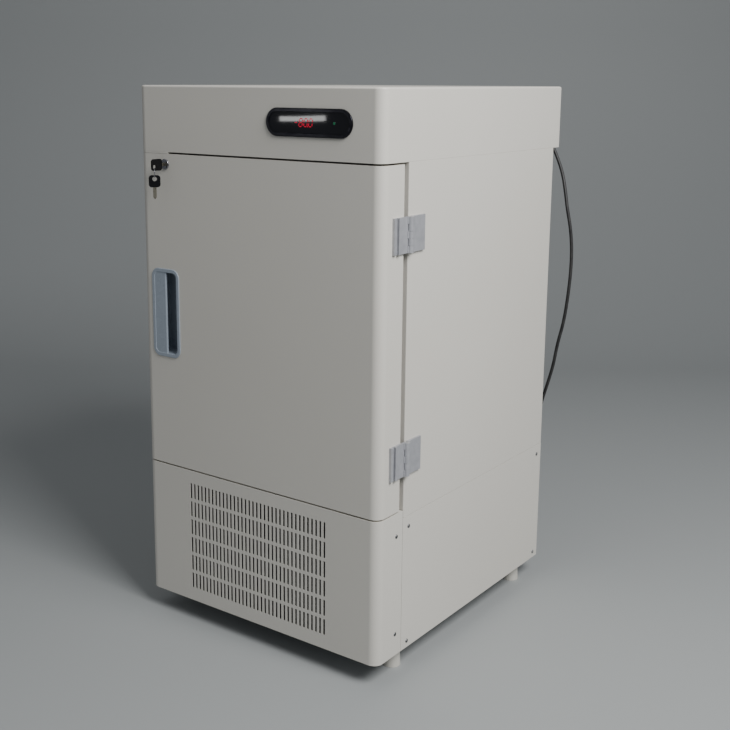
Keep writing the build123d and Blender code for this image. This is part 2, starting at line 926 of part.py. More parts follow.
plug_front = -lock_collar_wall + lock_plug_set_back
with BuildPart() as lock_plug:
    drilled(lock_x, plug_front, lock_z, lock_plug_radius, cam_front - plug_front, (0, 1, 0))
    block(
        (lock_x - key_blade_wall / 2, lock_x + key_blade_wall / 2),
        (plug_front, key_blade_length),
        (lock_z - key_blade_height / 2, lock_z + key_blade_height / 2),
        mode=Mode.SUBTRACT,
    )
with BuildPart() as lock_cam:
    with BuildSketch(front_plane(cam_front)):
        with Locations((lock_x - (cam_reach - cam_width / 2) / 2, lock_z)):
            SlotOverall(cam_reach + cam_width / 2, cam_width)
    extrude(amount=-cam_wall)

bow_middle = -(key_neck + bow_length / 2)
hole_depth = -(key_neck + bow_length - bow_hole_radius - bow_hole_edge)
hole_drop = bow_height / 2 - bow_hole_radius - bow_hole_edge
with BuildPart() as key:
    block(
        (lock_x - key_blade_wall / 2, lock_x + key_blade_wall / 2),
        (-key_neck - bow_radius, key_blade_length),
        (lock_z - key_blade_height / 2, lock_z + key_blade_height / 2),
    )
    with BuildSketch(side_plane(lock_x - bow_wall / 2)):
        with Locations((depth(bow_middle), lock_z)):
            RectangleRounded(bow_length, bow_height, bow_radius)
        with Locations((depth(hole_depth), lock_z - hole_drop)):
            Circle(bow_hole_radius, mode=Mode.SUBTRACT)
    extrude(amount=bow_wall)

# Split ring through both bows, and the spare key that hangs from it
ring_top = lock_z - hole_drop - bow_hole_radius + ring_wire
ring_z = ring_top + 2 * ring_wire - ring_radius
ring_plane = Plane(
    origin=(lock_x, depth(hole_depth), ring_z),
    x_dir=(math.cos(math.radians(ring_turn)), math.sin(math.radians(ring_turn)), 0),
    z_dir=(math.sin(math.radians(ring_turn)), -math.cos(math.radians(ring_turn)), 0),
)
with BuildPart() as key_ring:
    with BuildSketch(Plane(origin=ring_plane.origin, x_dir=ring_plane.x_dir, z_dir=(0, 0, 1))):
        with Locations((ring_radius, 0)):
            Circle(ring_wire)
    revolve(axis=Axis(ring_plane.origin, ring_plane.z_dir), revolution_arc=360)

spare_hole_z = ring_z - ring_radius
spare_plane = Plane(
    origin=(lock_x, depth(hole_depth), spare_hole_z),
    x_dir=(ring_plane.z_dir.X, ring_plane.z_dir.Y, 0),
    z_dir=(-ring_plane.x_dir.X, -ring_plane.x_dir.Y, 0),
)
spare_bow_drop = spare_bow_height / 2 - bow_hole_radius - bow_hole_edge
with BuildPart() as spare_key:
    with BuildSketch(spare_plane.offset(-bow_wall / 2)):
        with Locations((0, -spare_bow_drop - bow_hole_radius + 2 * ring_wire)):
            RectangleRounded(spare_bow_width, spare_bow_height, bow_radius)
        with Locations((0, -bow_hole_radius + 2 * ring_wire)):
            Circle(bow_hole_radius, mode=Mode.SUBTRACT)
    extrude(amount=bow_wall)
    blade_top = 2 * ring_wire - spare_bow_height + bow_hole_edge + spare_blade_sink
    with BuildSketch(spare_plane.offset(-key_blade_wall / 2)):
        with BuildLine():
            Polyline(
                (-key_blade_height / 2, blade_top),
                (key_blade_height / 2, blade_top),
                (key_blade_height / 2, blade_top - key_blade_length),
                (0, blade_top - key_blade_length - key_tip),
                (-key_blade_height / 2, blade_top - key_blade_length),
                (-key_blade_height / 2, blade_top),
            )
        make_face()
    extrude(amount=key_blade_wall)

# Hinges: a ribbed leaf on the door, a ribbed leaf on the cabinet, knuckles in turn on one pin
knuckle_height = hinge_height / hinge_knuckles
leaf_split = hinge_knuckle_radius + hinge_leaf_gap


def hinge_leaf(middle, on_door):
    """One leaf of a hinge with its share of the knuckles, bored for the pin."""
    bottom = middle - hinge_height / 2
    turns = [i for i in range(hinge_knuckles) if (i % 2 == 0) == on_door]
    if on_door:
        span = (hinge_leaf_front, hinge_pivot_depth - leaf_split)
        groove_at = hinge_leaf_front + 8
        rib_at = groove_at + hinge_groove_width
    else:
        span = (hinge_pivot_depth + leaf_split, hinge_leaf_back)
        groove_at = None
        rib_at = hinge_pivot_depth + leaf_split
    with BuildPart() as leaf:
        block((half_width, half_width + hinge_leaf_wall), span, (bottom, bottom + hinge_height))
        block(
            (half_width, half_width + hinge_leaf_wall + hinge_rib_proud),
            (rib_at, rib_at + hinge_rib_width),
            (bottom, bottom + hinge_height),
        )
        if groove_at:
            block(
                (half_width + hinge_leaf_wall - hinge_groove_depth, half_width + hinge_leaf_wall),
                (groove_at, groove_at + hinge_groove_width),
                (bottom, bottom + hinge_height),
                mode=Mode.SUBTRACT,
            )
        for i in turns:
            low = bottom + i * knuckle_height + hinge_knuckle_gap / 2
            tall = knuckle_height - hinge_knuckle_gap
            web = (span[1] - 2, hinge_pivot_depth) if on_door else (hinge_pivot_depth, span[0] + 2)
            block((half_width + 0.3, hinge_x), web, (low, low + tall))
            drilled(hinge_x, hinge_pivot_depth, low, hinge_knuckle_radius, tall)
            bore = hinge_pin_radius + (hinge_pin_clearance if on_door else 0)
            drilled(hinge_x, hinge_pivot_depth, low, bore, tall, mode=Mode.SUBTRACT)
    return leaf


door_hinge_leaf_lower, door_hinge_leaf_upper = [hinge_leaf(z, True) for z in hinge_heights]
cabinet_hinge_leaf_lower, cabinet_hinge_leaf_upper = [hinge_leaf(z, False) for z in hinge_heights]
with BuildPart() as hinge_pins:
    for z in hinge_heights:
        drilled(hinge_x, hinge_pivot_depth, z - hinge_height / 2, hinge_pin_radius, hinge_height)

# Lower front panel: wrapped round both corners, with a punched grille
with BuildPart() as base_front_panel:
    with BuildSketch(Plane.XY.offset(base_bottom)):
        wrapped_plan(0, front_panel_back)
    extrude(amount=front_panel_top - base_bottom)
    with BuildSketch(Plane.XY.offset(base_bottom + sheet)):
        wrapped_plan(sheet, front_panel_back)
    extrude(amount=front_panel_top - base_bottom - 2 * sheet, mode=Mode.SUBTRACT)
    block(
        (-half_width + panel_flange, half_width - panel_flange),
        (panel_flange, front_panel_back),
        (base_bottom, base_bottom + sheet),
        mode=Mode.SUBTRACT,
    )
    with BuildSketch(front_plane(0)):
        with Locations((0, base_bottom + grille_rise)):
            with GridLocations(slot_pitch_x, slot_pitch_z, slot_columns, slot_rows):
                Rectangle(slot_width, slot_height)
    extrude(amount=-sheet, mode=Mode.SUBTRACT)

side_panel_front = front_panel_back + side_panel_gap


def base_side_panel(side):
    """Lower side panel with a flange turned in along its foot and its back edge."""
    with BuildPart() as panel:
        outer = side * half_width
        block(
            (outer, outer - side * sheet),
            (side_panel_front, body_depth),
            (base_bottom, side_panel_top - side_panel_headroom),
        )
        block(
            (outer, outer - side * panel_flange),
            (side_panel_front, body_depth),
            (base_bottom, base_bottom + sheet),
        )
    return panel


base_side_panel_left = base_side_panel(-1)
base_side_panel_right = base_side_panel(1)

# Base frame: rimmed pan with four corner posts that carry the cabinet
frame_half = half_width - sheet
foot_x = half_width - foot_side_inset
foot_depths = (foot_front_inset, body_depth - foot_back_inset)
pan_bottom = base_bottom + sheet
with BuildPart() as base_frame:
    with BuildSketch(Plane.XY.offset(pan_bottom)):
        wrapped_plan(sheet, body_depth - sheet)
    extrude(amount=pan_rim)
    with BuildSketch(Plane.XY.offset(pan_bottom + pan_wall)):
        wrapped_plan(sheet + pan_wall, body_depth - sheet - pan_wall)
    extrude(amount=pan_rim, mode=Mode.SUBTRACT)
    frame_back = body_depth - sheet
    post_spans = ((seal_depth, seal_depth + post_side), (frame_back - post_side, frame_back))
    for side in (-1, 1):
        outer = side * frame_half
        for index, span in enumerate(post_spans):
            web = (span[0], span[0] + post_wall) if index == 0 else (span[1] - post_wall, span[1])
            block((outer, outer - side * post_wall), span, (pan_bottom, side_panel_top))
            block((outer, outer - side * post_side), web, (pan_bottom, side_panel_top))
    with BuildSketch(Plane.XY.offset(pan_bottom)):
        for side in (-1, 1):
            for behind in foot_depths:
                with Locations((side * foot_x, depth(behind))):
                    Circle(foot_stud_radius)
    extrude(amount=pan_wall, mode=Mode.SUBTRACT)

# Levelling feet: moulded pad on a stud, held by a nut on each side of the pan
with BuildPart() as levelling_feet:
    for side in (-1, 1):
        for behind in foot_depths:
            with BuildSketch(Plane.XY):
                with Locations((side * foot_x, depth(behind))):
                    Circle(foot_pad_radius)
            extrude(amount=foot_pad_height, taper=foot_taper)
            drilled(side * foot_x, behind, foot_pad_height, foot_nut_radius, pan_bottom - foot_pad_height)
            drilled(
                side * foot_x,
                behind,
                pan_bottom,
                foot_stud_radius,
                pan_wall + foot_nut_height + foot_stud_reach,
            )
            drilled(side * foot_x, behind, pan_bottom + pan_wall, foot_nut_radius, foot_nut_height)

# Rear vent panel between the side panels
vent_z = (base_bottom + side_panel_top) / 2
with BuildPart() as base_rear_panel:
    block(
        (-half_width + panel_flange, half_width - panel_flange),
        (body_depth - sheet, body_depth),
        (base_bottom + sheet, side_panel_top),
    )
    with BuildSketch(front_plane(body_depth - sheet)):
        with Locations((0, vent_z)):
            with GridLocations(vent_column_pitch, vent_pitch, vent_columns, vent_rows):
                Rectangle(vent_slot_length, vent_slot_height)
    extrude(amount=-sheet, mode=Mode.SUBTRACT)

# Screws of the lower panels, three pairs on each side
front_screws = [
    (front_panel_back - front_screw_inset, z)
    for z in (base_bottom + front_screw_end, front_panel_top - front_screw_end)
]
side_screws = [
    (behind, z)
    for behind in (front_panel_back + side_screw_inset, body_depth - side_screw_inset)
    for z in (base_bottom + side_screw_low, side_panel_top - side_screw_high)
]
with BuildPart() as panel_screws:
    for side in (-1, 1):
        for behind, z in front_screws + side_screws:
            drilled(side * half_width, behind, z, screw_radius, screw_head, (side, 0, 0))

# Compressor on rubber grommets
pan_top = pan_bottom + pan_wall
compressor_x = -half_width + compressor_side_inset
compressor_depth = body_depth - compressor_back_inset
compressor_y = depth(compressor_depth)
compressor_bottom = pan_top + compressor_lift
compressor_top = compressor_bottom + compressor_height
compressor_shoulder = compressor_top - compressor_dome
compressor_crown = (compressor_radius**2 + compressor_dome**2) / (2 * compressor_dome)
compressor_section = Plane(origin=(compressor_x, compressor_y, 0), x_dir=(1, 0, 0), z_dir=(0, -1, 0))
grommet_pitch = compressor_foot_side - 2 * grommet_inset
with BuildPart() as compressor:
    with BuildSketch(compressor_section):
        with BuildLine():
            Polyline(
                (0, compressor_top),
                (0, compressor_bottom),
                (compressor_base_radius, compressor_bottom),
                (compressor_radius, compressor_bottom + compressor_bowl),
                (compressor_radius, compressor_shoulder),
            )
            RadiusArc((compressor_radius, compressor_shoulder), (0, compressor_top), -compressor_crown)
        make_face()
    revolve(axis=Axis((compressor_x, compressor_y, 0), (0, 0, 1)), revolution_arc=360)
    with BuildSketch(Plane.XY.offset(compressor_bottom - compressor_foot_wall)):
        with Locations((compressor_x, compressor_y)):
            RectangleRounded(compressor_foot_side, compressor_foot_side, grommet_inset - 1)
            with GridLocations(grommet_pitch, grommet_pitch, 2, 2):
                Circle(grommet_neck, mode=Mode.SUBTRACT)
    extrude(amount=compressor_foot_wall)
    with Locations(
        (
            compressor_x + compressor_radius + relay_box[0] / 2 - relay_box_sink,
            compressor_y,
            compressor_bottom + relay_box_rise,
        )
    ):
        Box(*relay_box)
with BuildPart() as compressor_grommets:
    with BuildSketch(Plane.XY.offset(pan_top)):
        with Locations((compressor_x, compressor_y)):
            with GridLocations(grommet_pitch, grommet_pitch, 2, 2):
                Circle(grommet_radius)
    extrude(amount=compressor_lift - compressor_foot_wall)

# Condenser behind the grille: a pack of upright fins, with the ends of its tubes on both sides
condenser_back = condenser_front + condenser_depth
condenser_width = width - 2 * condenser_side_gap
condenser_height = side_panel_height - condenser_head_gap
condenser_middle = (condenser_front + condenser_back) / 2
fin_pitch = (condenser_width - condenser_fin_wall) / (condenser_fins - 1)
tube_pitch = condenser_height / condenser_tube_rows
tube_heights = [pan_top + tube_pitch * (row + 0.5) for row in range(condenser_tube_rows)]
with BuildPart() as condenser:
    block(
        (-condenser_width / 2, condenser_width / 2),
        (condenser_front, condenser_back),
        (pan_top, pan_top + condenser_height),
    )
    with BuildSketch(front_plane(condenser_front)):
        with Locations((0, pan_top + condenser_height / 2)):
            with GridLocations(fin_pitch, 0, condenser_fins - 1, 1):
                Rectangle(fin_pitch - condenser_fin_wall, condenser_height - 2 * condenser_fin_wall)
    extrude(amount=-condenser_depth, mode=Mode.SUBTRACT)
    for z in tube_heights:
        for side in (-1, 1):
            drilled(
                side * condenser_width / 2,
                condenser_middle,
                z,
                condenser_tube_radius,
                condenser_stub,
                (side, 0, 0),
            )

# Shroud behind the condenser, with a round mouth for the fan
shroud_back = condenser_back + shroud_depth
shroud_top = pan_top + condenser_height + shroud_rise
fan_z = (pan_top + shroud_top) / 2
fan_radius = condenser_height / 2 - fan_rim_gap
with BuildPart() as fan_shroud:
    block(
        (-condenser_width / 2, condenser_width / 2),
        (condenser_back, shroud_back),
        (pan_top, shroud_top),
    )
    block(
        (-condenser_width / 2 + shroud_wall, condenser_width / 2 - shroud_wall),
        (condenser_back, shroud_back - shroud_wall),
        (pan_top + shroud_wall, shroud_top - shroud_wall),
        mode=Mode.SUBTRACT,
    )
    mouth = fan_radius + fan_tip_clearance
    ring_front = shroud_back - shroud_wall
    drilled(0, ring_front, fan_z, mouth + shroud_wall, shroud_ring, (0, 1, 0))
    drilled(0, ring_front, fan_z, mouth, shroud_ring, (0, 1, 0), Mode.SUBTRACT)

# Fan wheel, its motor and the bracket from the pan
fan_middle = shroud_back + shroud_ring / 2
fan_front = fan_middle - fan_hub_length / 2
motor_front = fan_front + fan_hub_length + fan_motor_gap
blade_root = fan_hub_radius - blade_sink
blade_tip = fan_radius - blade_tip_bulge
with BuildPart() as fan_blade:
    drilled(0, fan_front, fan_z, fan_hub_radius, fan_hub_length, (0, 1, 0))
    for index in range(fan_blades):
        turn = 360 / fan_blades * index
        outward = Vector(1, 0, 0).rotate(Axis.Y, turn)
        chord = Vector(0, 0, 1).rotate(Axis.X, fan_blade_pitch).rotate(Axis.Y, turn)
        blade_plane = Plane(
            origin=(0, depth(fan_middle), fan_z), x_dir=outward, z_dir=outward.cross(chord)
        )
        with BuildSketch(blade_plane.offset(-fan_blade_wall / 2)):
            with BuildLine():
                Polyline(
                    (blade_tip, blade_tip_lead),
                    (blade_root, blade_root_half),
                    (blade_root, -blade_root_half),
                    (blade_tip, -blade_tip_trail),
                )
                RadiusArc((blade_tip, -blade_tip_trail), (blade_tip, blade_tip_lead), -fan_radius)
            make_face()
        extrude(amount=fan_blade_wall)
    drilled(
        0,
        fan_front + shaft_sink,
        fan_z,
        shaft_radius + shaft_clearance,
        fan_hub_length,
        (0, 1, 0),
        Mode.SUBTRACT,
    )
with BuildPart() as fan_motor:
    drilled(0, motor_front, fan_z, motor_radius, motor_length, (0, 1, 0))
    chamfer(edges().filter_by(GeomType.CIRCLE), motor_edge)
    shaft_front = fan_front + shaft_sink
    drilled(0, shaft_front, fan_z, shaft_radius, motor_front - shaft_front, (0, 1, 0))
with BuildPart() as motor_bracket:
    bracket_front = motor_front + (motor_length - motor_strap_depth) / 2
    strap_radius = motor_radius + motor_strap
    gap_height = fan_z - pan_top - strap_radius - bracket_leg
    with BuildSketch(front_plane(bracket_front)):
        with Locations((0, (pan_top + fan_z) / 2)):
            Rectangle(2 * strap_radius, fan_z - pan_top)
        with Locations((0, fan_z)):
            Circle(strap_radius)
            Circle(motor_radius, mode=Mode.SUBTRACT)
        with Locations((0, pan_top + motor_strap + gap_height / 2)):
            Rectangle(2 * (strap_radius - bracket_leg), gap_height, mode=Mode.SUBTRACT)
    extrude(amount=-motor_strap_depth)

# Drier and the pipes between compressor, condenser and cabinet
drier_x = half_width - drier_side_inset
with BuildPart() as filter_drier:
    drilled(drier_x, drier_depth, drier_bottom, drier_radius, drier_length)
    chamfer(edges().filter_by(GeomType.CIRCLE), drier_shoulder)


def bent_pipe(points):
    """Copper pipe through a list of points, with bends of two pipe diameters."""
    with BuildPart() as pipe:
        with BuildLine() as route:
            FilletPolyline(*points, radius=4 * pipe_radius)
        with BuildSketch(Plane(route.line @ 0, z_dir=route.line % 0)):
            Circle(pipe_radius)
        sweep(path=route.line)
    return pipe


pipe_y = depth(condenser_middle)
low_tube = tube_heights[0]
high_tube = tube_heights[-1]
pipe_end = condenser_width / 2 + condenser_stub
suction_x = compressor_x - suction_offset
suction_top = side_panel_top - pipe_headroom
discharge_y = depth(compressor_depth - compressor_radius)
discharge_z = compressor_bottom + discharge_rise
suction_pipe = bent_pipe(
    [
        (suction_x, compressor_y, compressor_shoulder + suction_rise),
        (suction_x, compressor_y, suction_top),
        (suction_x, compressor_y + suction_run, suction_top),
        (suction_x, compressor_y + suction_run, side_panel_top),
    ]
)
discharge_pipe = bent_pipe(
    [
        (compressor_x, discharge_y + pipe_sink, discharge_z),
        (compressor_x, discharge_y - discharge_run, discharge_z),
        (compressor_x, discharge_y - discharge_run, high_tube),
        (-pipe_end - pipe_stand_off, discharge_y - discharge_run, high_tube),
        (-pipe_end - pipe_stand_off, pipe_y, high_tube),
        (-pipe_end, pipe_y, high_tube),
    ]
)
liquid_pipe = bent_pipe(
    [
        (pipe_end, pipe_y, low_tube),
        (drier_x, pipe_y, low_tube),
        (drier_x, depth(drier_depth), low_tube),
        (drier_x, depth(drier_depth), drier_bottom),
    ]
)
feed_pipe = bent_pipe(
    [
        (drier_x, depth(drier_depth), drier_bottom + drier_length),
        (drier_x, depth(drier_depth), suction_top),
        (drier_x, depth(drier_depth) + feed_run, suction_top),
        (drier_x, depth(drier_depth) + feed_run, side_panel_top),
    ]
)
with BuildPart() as refrigerant_pipes:
    add(suction_pipe.part)
    add(discharge_pipe.part)
    add(liquid_pipe.part)
    add(feed_pipe.part)

# Cord: gland on the back of the hood, free drop, coil on the floor and plug beside it
gland_end = hood_depth + gland_length
with BuildPart() as cord_gland:
    drilled(
        gland_x,
        hood_depth - gland_shank,
        gland_z,
        gland_root_radius,
        gland_shank + gland_collar_length,
        (0, 1, 0),
    )
    drilled(gland_x, hood_depth, gland_z, gland_collar_radius, gland_collar_length, (0, 1, 0))
    with BuildSketch(front_plane(hood_depth + gland_collar_length)):
        with Locations((gland_x, gland_z)):
            Circle(gland_root_radius)
    with BuildSketch(front_plane(gland_end)):
        with Locations((gland_x, gland_z)):
            Circle(gland_tip_radius)
    loft()

# Route of the cord: to the right of the gland, behind the hood, height above the floor
cord_route = [
    (0, 36, 1040),
    (3, 72, 1034),
    (15, 93, 1008),
    (37, 92, 969),
    (57, 84, 931),
    (69, 77, 892),
    (78, 72, 852),
    (89, 71, 808),
    (94, 72, 760),
    (95, 70, 706),
    (90, 71, 646),
    (82, 72, 586),
    (69, 71, 533),
    (61, 72, 481),
    (48, 71, 432),
    (32, 73, 380),
    (22, 71, 322),
    (9, 72, 262),
    (2, 74, 202),
    (-7, 76, 144),
    (-16, 81, 92),
    (-32, 89, 46),
    (-57, 97, 15),
    (-94, 103, 3.75),
]
cord_points = [
    Vector(gland_x + right, depth(hood_depth + behind), height * gland_z / cord_route[0][2])
    for right, behind, height in cord_route
]


def cord_bends(points):
    """Radius of each bend: 0.45 of the shorter run over the tangent of half the turn."""
    radii = []
    for before, here, after in zip(points, points[1:], points[2:]):
        turn = math.radians((here - before).get_angle(after - here))
        radii.append(0.45 * min((here - before).length, (after - here).length) / math.tan(turn / 2))
    return radii


# The tail runs on from the top turn of the coil to the plug, along the back of the coil
coil_x = gland_x - coil_side_offset
coil_y = depth(hood_depth + coil_set_back)
tail_y = coil_y + coil_radius
tail_start = coil_x - tail_offset
relief_end = tail_start - tail_length
relief_start = relief_end - plug_relief_length
plug_z = plug_body[2] / 2
bends = cord_bends(cord_points)
print("cord bend radii", [round(r) for r in bends])
with BuildPart() as mains_cord:
    with BuildLine() as cord_line:
        FilletPolyline(*cord_points, radius=bends)
    with BuildSketch(Plane(cord_line.line @ 0, z_dir=cord_line.line % 0)):
        Circle(cord_radius)
    sweep(path=cord_line.line)
    with Locations(Plane(origin=(tail_start, tail_y, plug_z), z_dir=(-1, 0, 0)).location):
        Cylinder(cord_radius, tail_length, align=(Align.CENTER, Align.CENTER, Align.MIN))
print("cord route length", round(cord_line.wire().length))

with BuildPart() as cord_coil:
    with BuildSketch(Plane(origin=(coil_x, coil_y, 0), x_dir=(1, 0, 0), z_dir=(0, -1, 0))):
        with Locations((coil_radius, coil_high / 2)):
            Rectangle(coil_wide, coil_high)
        chamfer(vertices(), cord_radius)
    revolve(axis=Axis((coil_x, coil_y, 0), (0, 0, 1)), revolution_arc=360)

# Moulded plug with its strain relief and three flat pins
with BuildPart() as mains_plug:
    with BuildSketch(side_plane(relief_start)):
        with Locations((tail_y, plug_z)):
            RectangleRounded(plug_body[1], plug_body[2], plug_radius)
    extrude(amount=-plug_body[0])
    fillet(faces().sort_by(Axis.X)[0].edges(), plug_edge)
    with BuildSketch(side_plane(relief_start)):
        with Locations((tail_y, plug_z)):
            Circle(gland_root_radius)
    with BuildSketch(side_plane(relief_end)):
        with Locations((tail_y, plug_z)):
            Circle(gland_tip_radius)
    loft()
    with BuildSketch(side_plane(relief_start - plug_body[0])):
        with Locations((tail_y, plug_z)):
            with Locations(*plug_pin_places):
                Rectangle(plug_pin[1], plug_pin[2])
    extrude(amount=-plug_pin[0])

pieces = {
    "hood": hood,
    "display_bezel": display_bezel,
    "display_lens": display_lens,
    "display_board": display_board,
    "control_unit": control_unit,
    "lock_strike": lock_strike,
    "cabinet_shell": cabinet_shell,
    "breaker_frame": breaker_frame,
    "inner_liner": inner_liner,
    "evaporator": evaporator,
    "cabinet_foam": cabinet_foam,
    "shelf_rails": shelf_rails,
    "shelf_clips": shelf_clips,
    "shelf_lower": shelf_lower,
    "shelf_middle": shelf_middle,
    "shelf_upper": shelf_upper,
    "inner_frame": inner_frame,
    "inner_hinge_brackets": inner_hinge_brackets,
    "inner_hinge_pins": inner_hinge_pins,
    "inner_door_lower": inner_door_lower,
    "inner_door_upper": inner_door_upper,
    "inner_gasket_lower": inner_gasket_lower,
    "inner_gasket_upper": inner_gasket_upper,
    "door_skin": door_skin,
    "door_liner": door_liner,
    "door_foam": door_foam,
    "door_gasket": door_gasket,
    "handle_cup": handle_cup,
    "lock_barrel": lock_barrel,
    "lock_nut": lock_nut,
    "lock_plug": lock_plug,
    "lock_cam": lock_cam,
    "key": key,
    "key_ring": key_ring,
    "spare_key": spare_key,
    "door_hinge_leaf_lower": door_hinge_leaf_lower,
    "door_hinge_leaf_upper": door_hinge_leaf_upper,
    "cabinet_hinge_leaf_lower": cabinet_hinge_leaf_lower,
    "cabinet_hinge_leaf_upper": cabinet_hinge_leaf_upper,
    "hinge_pins": hinge_pins,
    "base_front_panel": base_front_panel,
    "base_side_panel_left": base_side_panel_left,
    "base_side_panel_right": base_side_panel_right,
    "base_frame": base_frame,
    "levelling_feet": levelling_feet,
    "base_rear_panel": base_rear_panel,
    "panel_screws": panel_screws,
    "compressor": compressor,
    "compressor_grommets": compressor_grommets,
    "condenser": condenser,
    "fan_shroud": fan_shroud,
    "fan_blade": fan_blade,
    "fan_motor": fan_motor,
    "motor_bracket": motor_bracket,
    "filter_drier": filter_drier,
    "refrigerant_pipes": refrigerant_pipes,
    "cord_gland": cord_gland,
    "mains_cord": mains_cord,
    "cord_coil": cord_coil,
    "mains_plug": mains_plug,
}
os.makedirs("parts", exist_ok=True)
for name, piece in pieces.items():
    piece.part.label = name
    export_step(piece.part, f"parts/{name}.step")
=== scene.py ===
"""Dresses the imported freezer: cord, finishes, rounded edges, condenser fins, screws and display."""

import json
import math

import bmesh
import bpy
from mathutils import Matrix, Vector

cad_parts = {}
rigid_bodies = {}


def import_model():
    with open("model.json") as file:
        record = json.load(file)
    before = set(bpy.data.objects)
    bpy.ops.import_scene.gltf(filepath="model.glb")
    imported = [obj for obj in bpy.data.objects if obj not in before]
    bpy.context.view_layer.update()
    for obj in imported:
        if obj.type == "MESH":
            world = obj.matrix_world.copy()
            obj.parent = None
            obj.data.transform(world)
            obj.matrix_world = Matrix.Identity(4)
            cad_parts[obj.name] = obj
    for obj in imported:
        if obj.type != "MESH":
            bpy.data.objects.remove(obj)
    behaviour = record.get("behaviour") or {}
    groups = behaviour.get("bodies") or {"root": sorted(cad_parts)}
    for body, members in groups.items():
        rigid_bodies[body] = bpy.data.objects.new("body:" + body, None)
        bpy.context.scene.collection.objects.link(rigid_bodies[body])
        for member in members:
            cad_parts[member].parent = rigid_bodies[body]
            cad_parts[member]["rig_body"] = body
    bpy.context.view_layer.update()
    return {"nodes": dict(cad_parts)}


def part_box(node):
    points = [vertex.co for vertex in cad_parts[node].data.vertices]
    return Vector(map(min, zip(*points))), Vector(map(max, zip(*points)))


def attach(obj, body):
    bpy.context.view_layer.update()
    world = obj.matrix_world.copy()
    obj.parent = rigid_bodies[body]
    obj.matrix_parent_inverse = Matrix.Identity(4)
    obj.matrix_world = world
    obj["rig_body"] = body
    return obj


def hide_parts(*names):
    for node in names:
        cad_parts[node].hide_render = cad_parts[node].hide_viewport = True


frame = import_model()

# Camera: stands to the right of the freezer, a little above its top, as the photographer did.
# Place, turn and lens come from the cabinet's own edges in the photograph.
photo_width = 730
focal_px = 1125.84
optical_centre_px = (335.0, 311.2)
sensor_width = 36
camera_place = (1.3999, -1.9378, 1.1356)
camera_turn = math.radians(36.67)
camera_dip = math.radians(11.58)
camera_roll = math.radians(0.27)


def in_scene(name, data):
    """An object at the origin, linked into the scene."""
    thing = bpy.data.objects.new(name, data)
    bpy.context.scene.collection.objects.link(thing)
    return thing


camera_data = bpy.data.cameras.new("photo_camera")
camera_data.sensor_width = sensor_width
camera_data.lens = focal_px / photo_width * sensor_width
camera_data.shift_x = (photo_width / 2 - optical_centre_px[0]) / photo_width
camera_data.shift_y = (optical_centre_px[1] - photo_width / 2) / photo_width
camera = in_scene("photo_camera", camera_data)
camera.matrix_world = (
    Matrix.Translation(camera_place)
    @ Matrix.Rotation(camera_turn, 4, "Z")
    @ Matrix.Rotation(math.pi / 2 - camera_dip, 4, "X")
    @ Matrix.Rotation(camera_roll, 4, "Z")
)
bpy.context.scene.camera = camera

# Mains cord: round black flexible lead with a PVC sheath, clamped in the gland behind the hood.
# It drops free behind the cabinet, and its spare length is wound into a coil on the floor.
cord_diameter = 0.0075
gland_low, gland_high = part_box("cord_gland")
gland_x = (gland_low.x + gland_high.x) / 2
hood_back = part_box("hood")[1].y
cord_drop = [
    (0, 0.036, 1.040),
    (0.003, 0.072, 1.034),
    (0.015, 0.093, 1.008),
    (0.037, 0.092, 0.969),
    (0.057, 0.084, 0.931),
    (0.069, 0.077, 0.892),
    (0.078, 0.072, 0.852),
    (0.089, 0.071, 0.808),
    (0.094, 0.072, 0.760),
    (0.095, 0.070, 0.706),
    (0.090, 0.071, 0.646),
    (0.082, 0.072, 0.586),
    (0.069, 0.071, 0.533),
    (0.061, 0.072, 0.481),
    (0.048, 0.071, 0.432),
    (0.032, 0.073, 0.380),
    (0.022, 0.071, 0.322),
    (0.009, 0.072, 0.262),
    (0.002, 0.074, 0.202),
    (-0.007, 0.076, 0.144),
    (-0.016, 0.081, 0.092),
    (-0.032, 0.089, 0.046),
    (-0.057, 0.098, 0.015),
    (-0.088, 0.109, 0.00375),
]
cord_points = [(gland_x + right, hood_back + behind, height) for right, behind, height in cord_drop]

# The coil: two turns wind inward on the floor, two wind back outward on top of them, and the last
# lies on a third layer, from which the tail leads off. Each climb takes a sixth of a turn.
coil_low, coil_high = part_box("cord_coil")
coil_x = (coil_low.x + coil_high.x) / 2
coil_y = (coil_low.y + coil_high.y) / 2
coil_turns = 5
points_per_turn = 16
coil_mean_radius = 0.04125
climb_rate = 6
for step in range(coil_turns * points_per_turn + 1):
    turn = step / points_per_turn
    if turn <= 2:
        radius = coil_mean_radius + cord_diameter * (1 - turn)
        height = cord_diameter * 0.5
    elif turn <= 4:
        radius = coil_mean_radius + cord_diameter * (turn - 3)
        height = cord_diameter * (0.5 + min(1, (turn - 2) * climb_rate))
    else:
        radius = coil_mean_radius + cord_diameter * (5 - turn)
        height = cord_diameter * (1.5 + min(1, (turn - 4) * climb_rate))
    angle = math.radians(90) + 2 * math.pi * turn
    spread = radius / math.cos(math.pi / points_per_turn)
    cord_points.append((coil_x + spread * math.cos(angle), coil_y + spread * math.sin(angle), height))

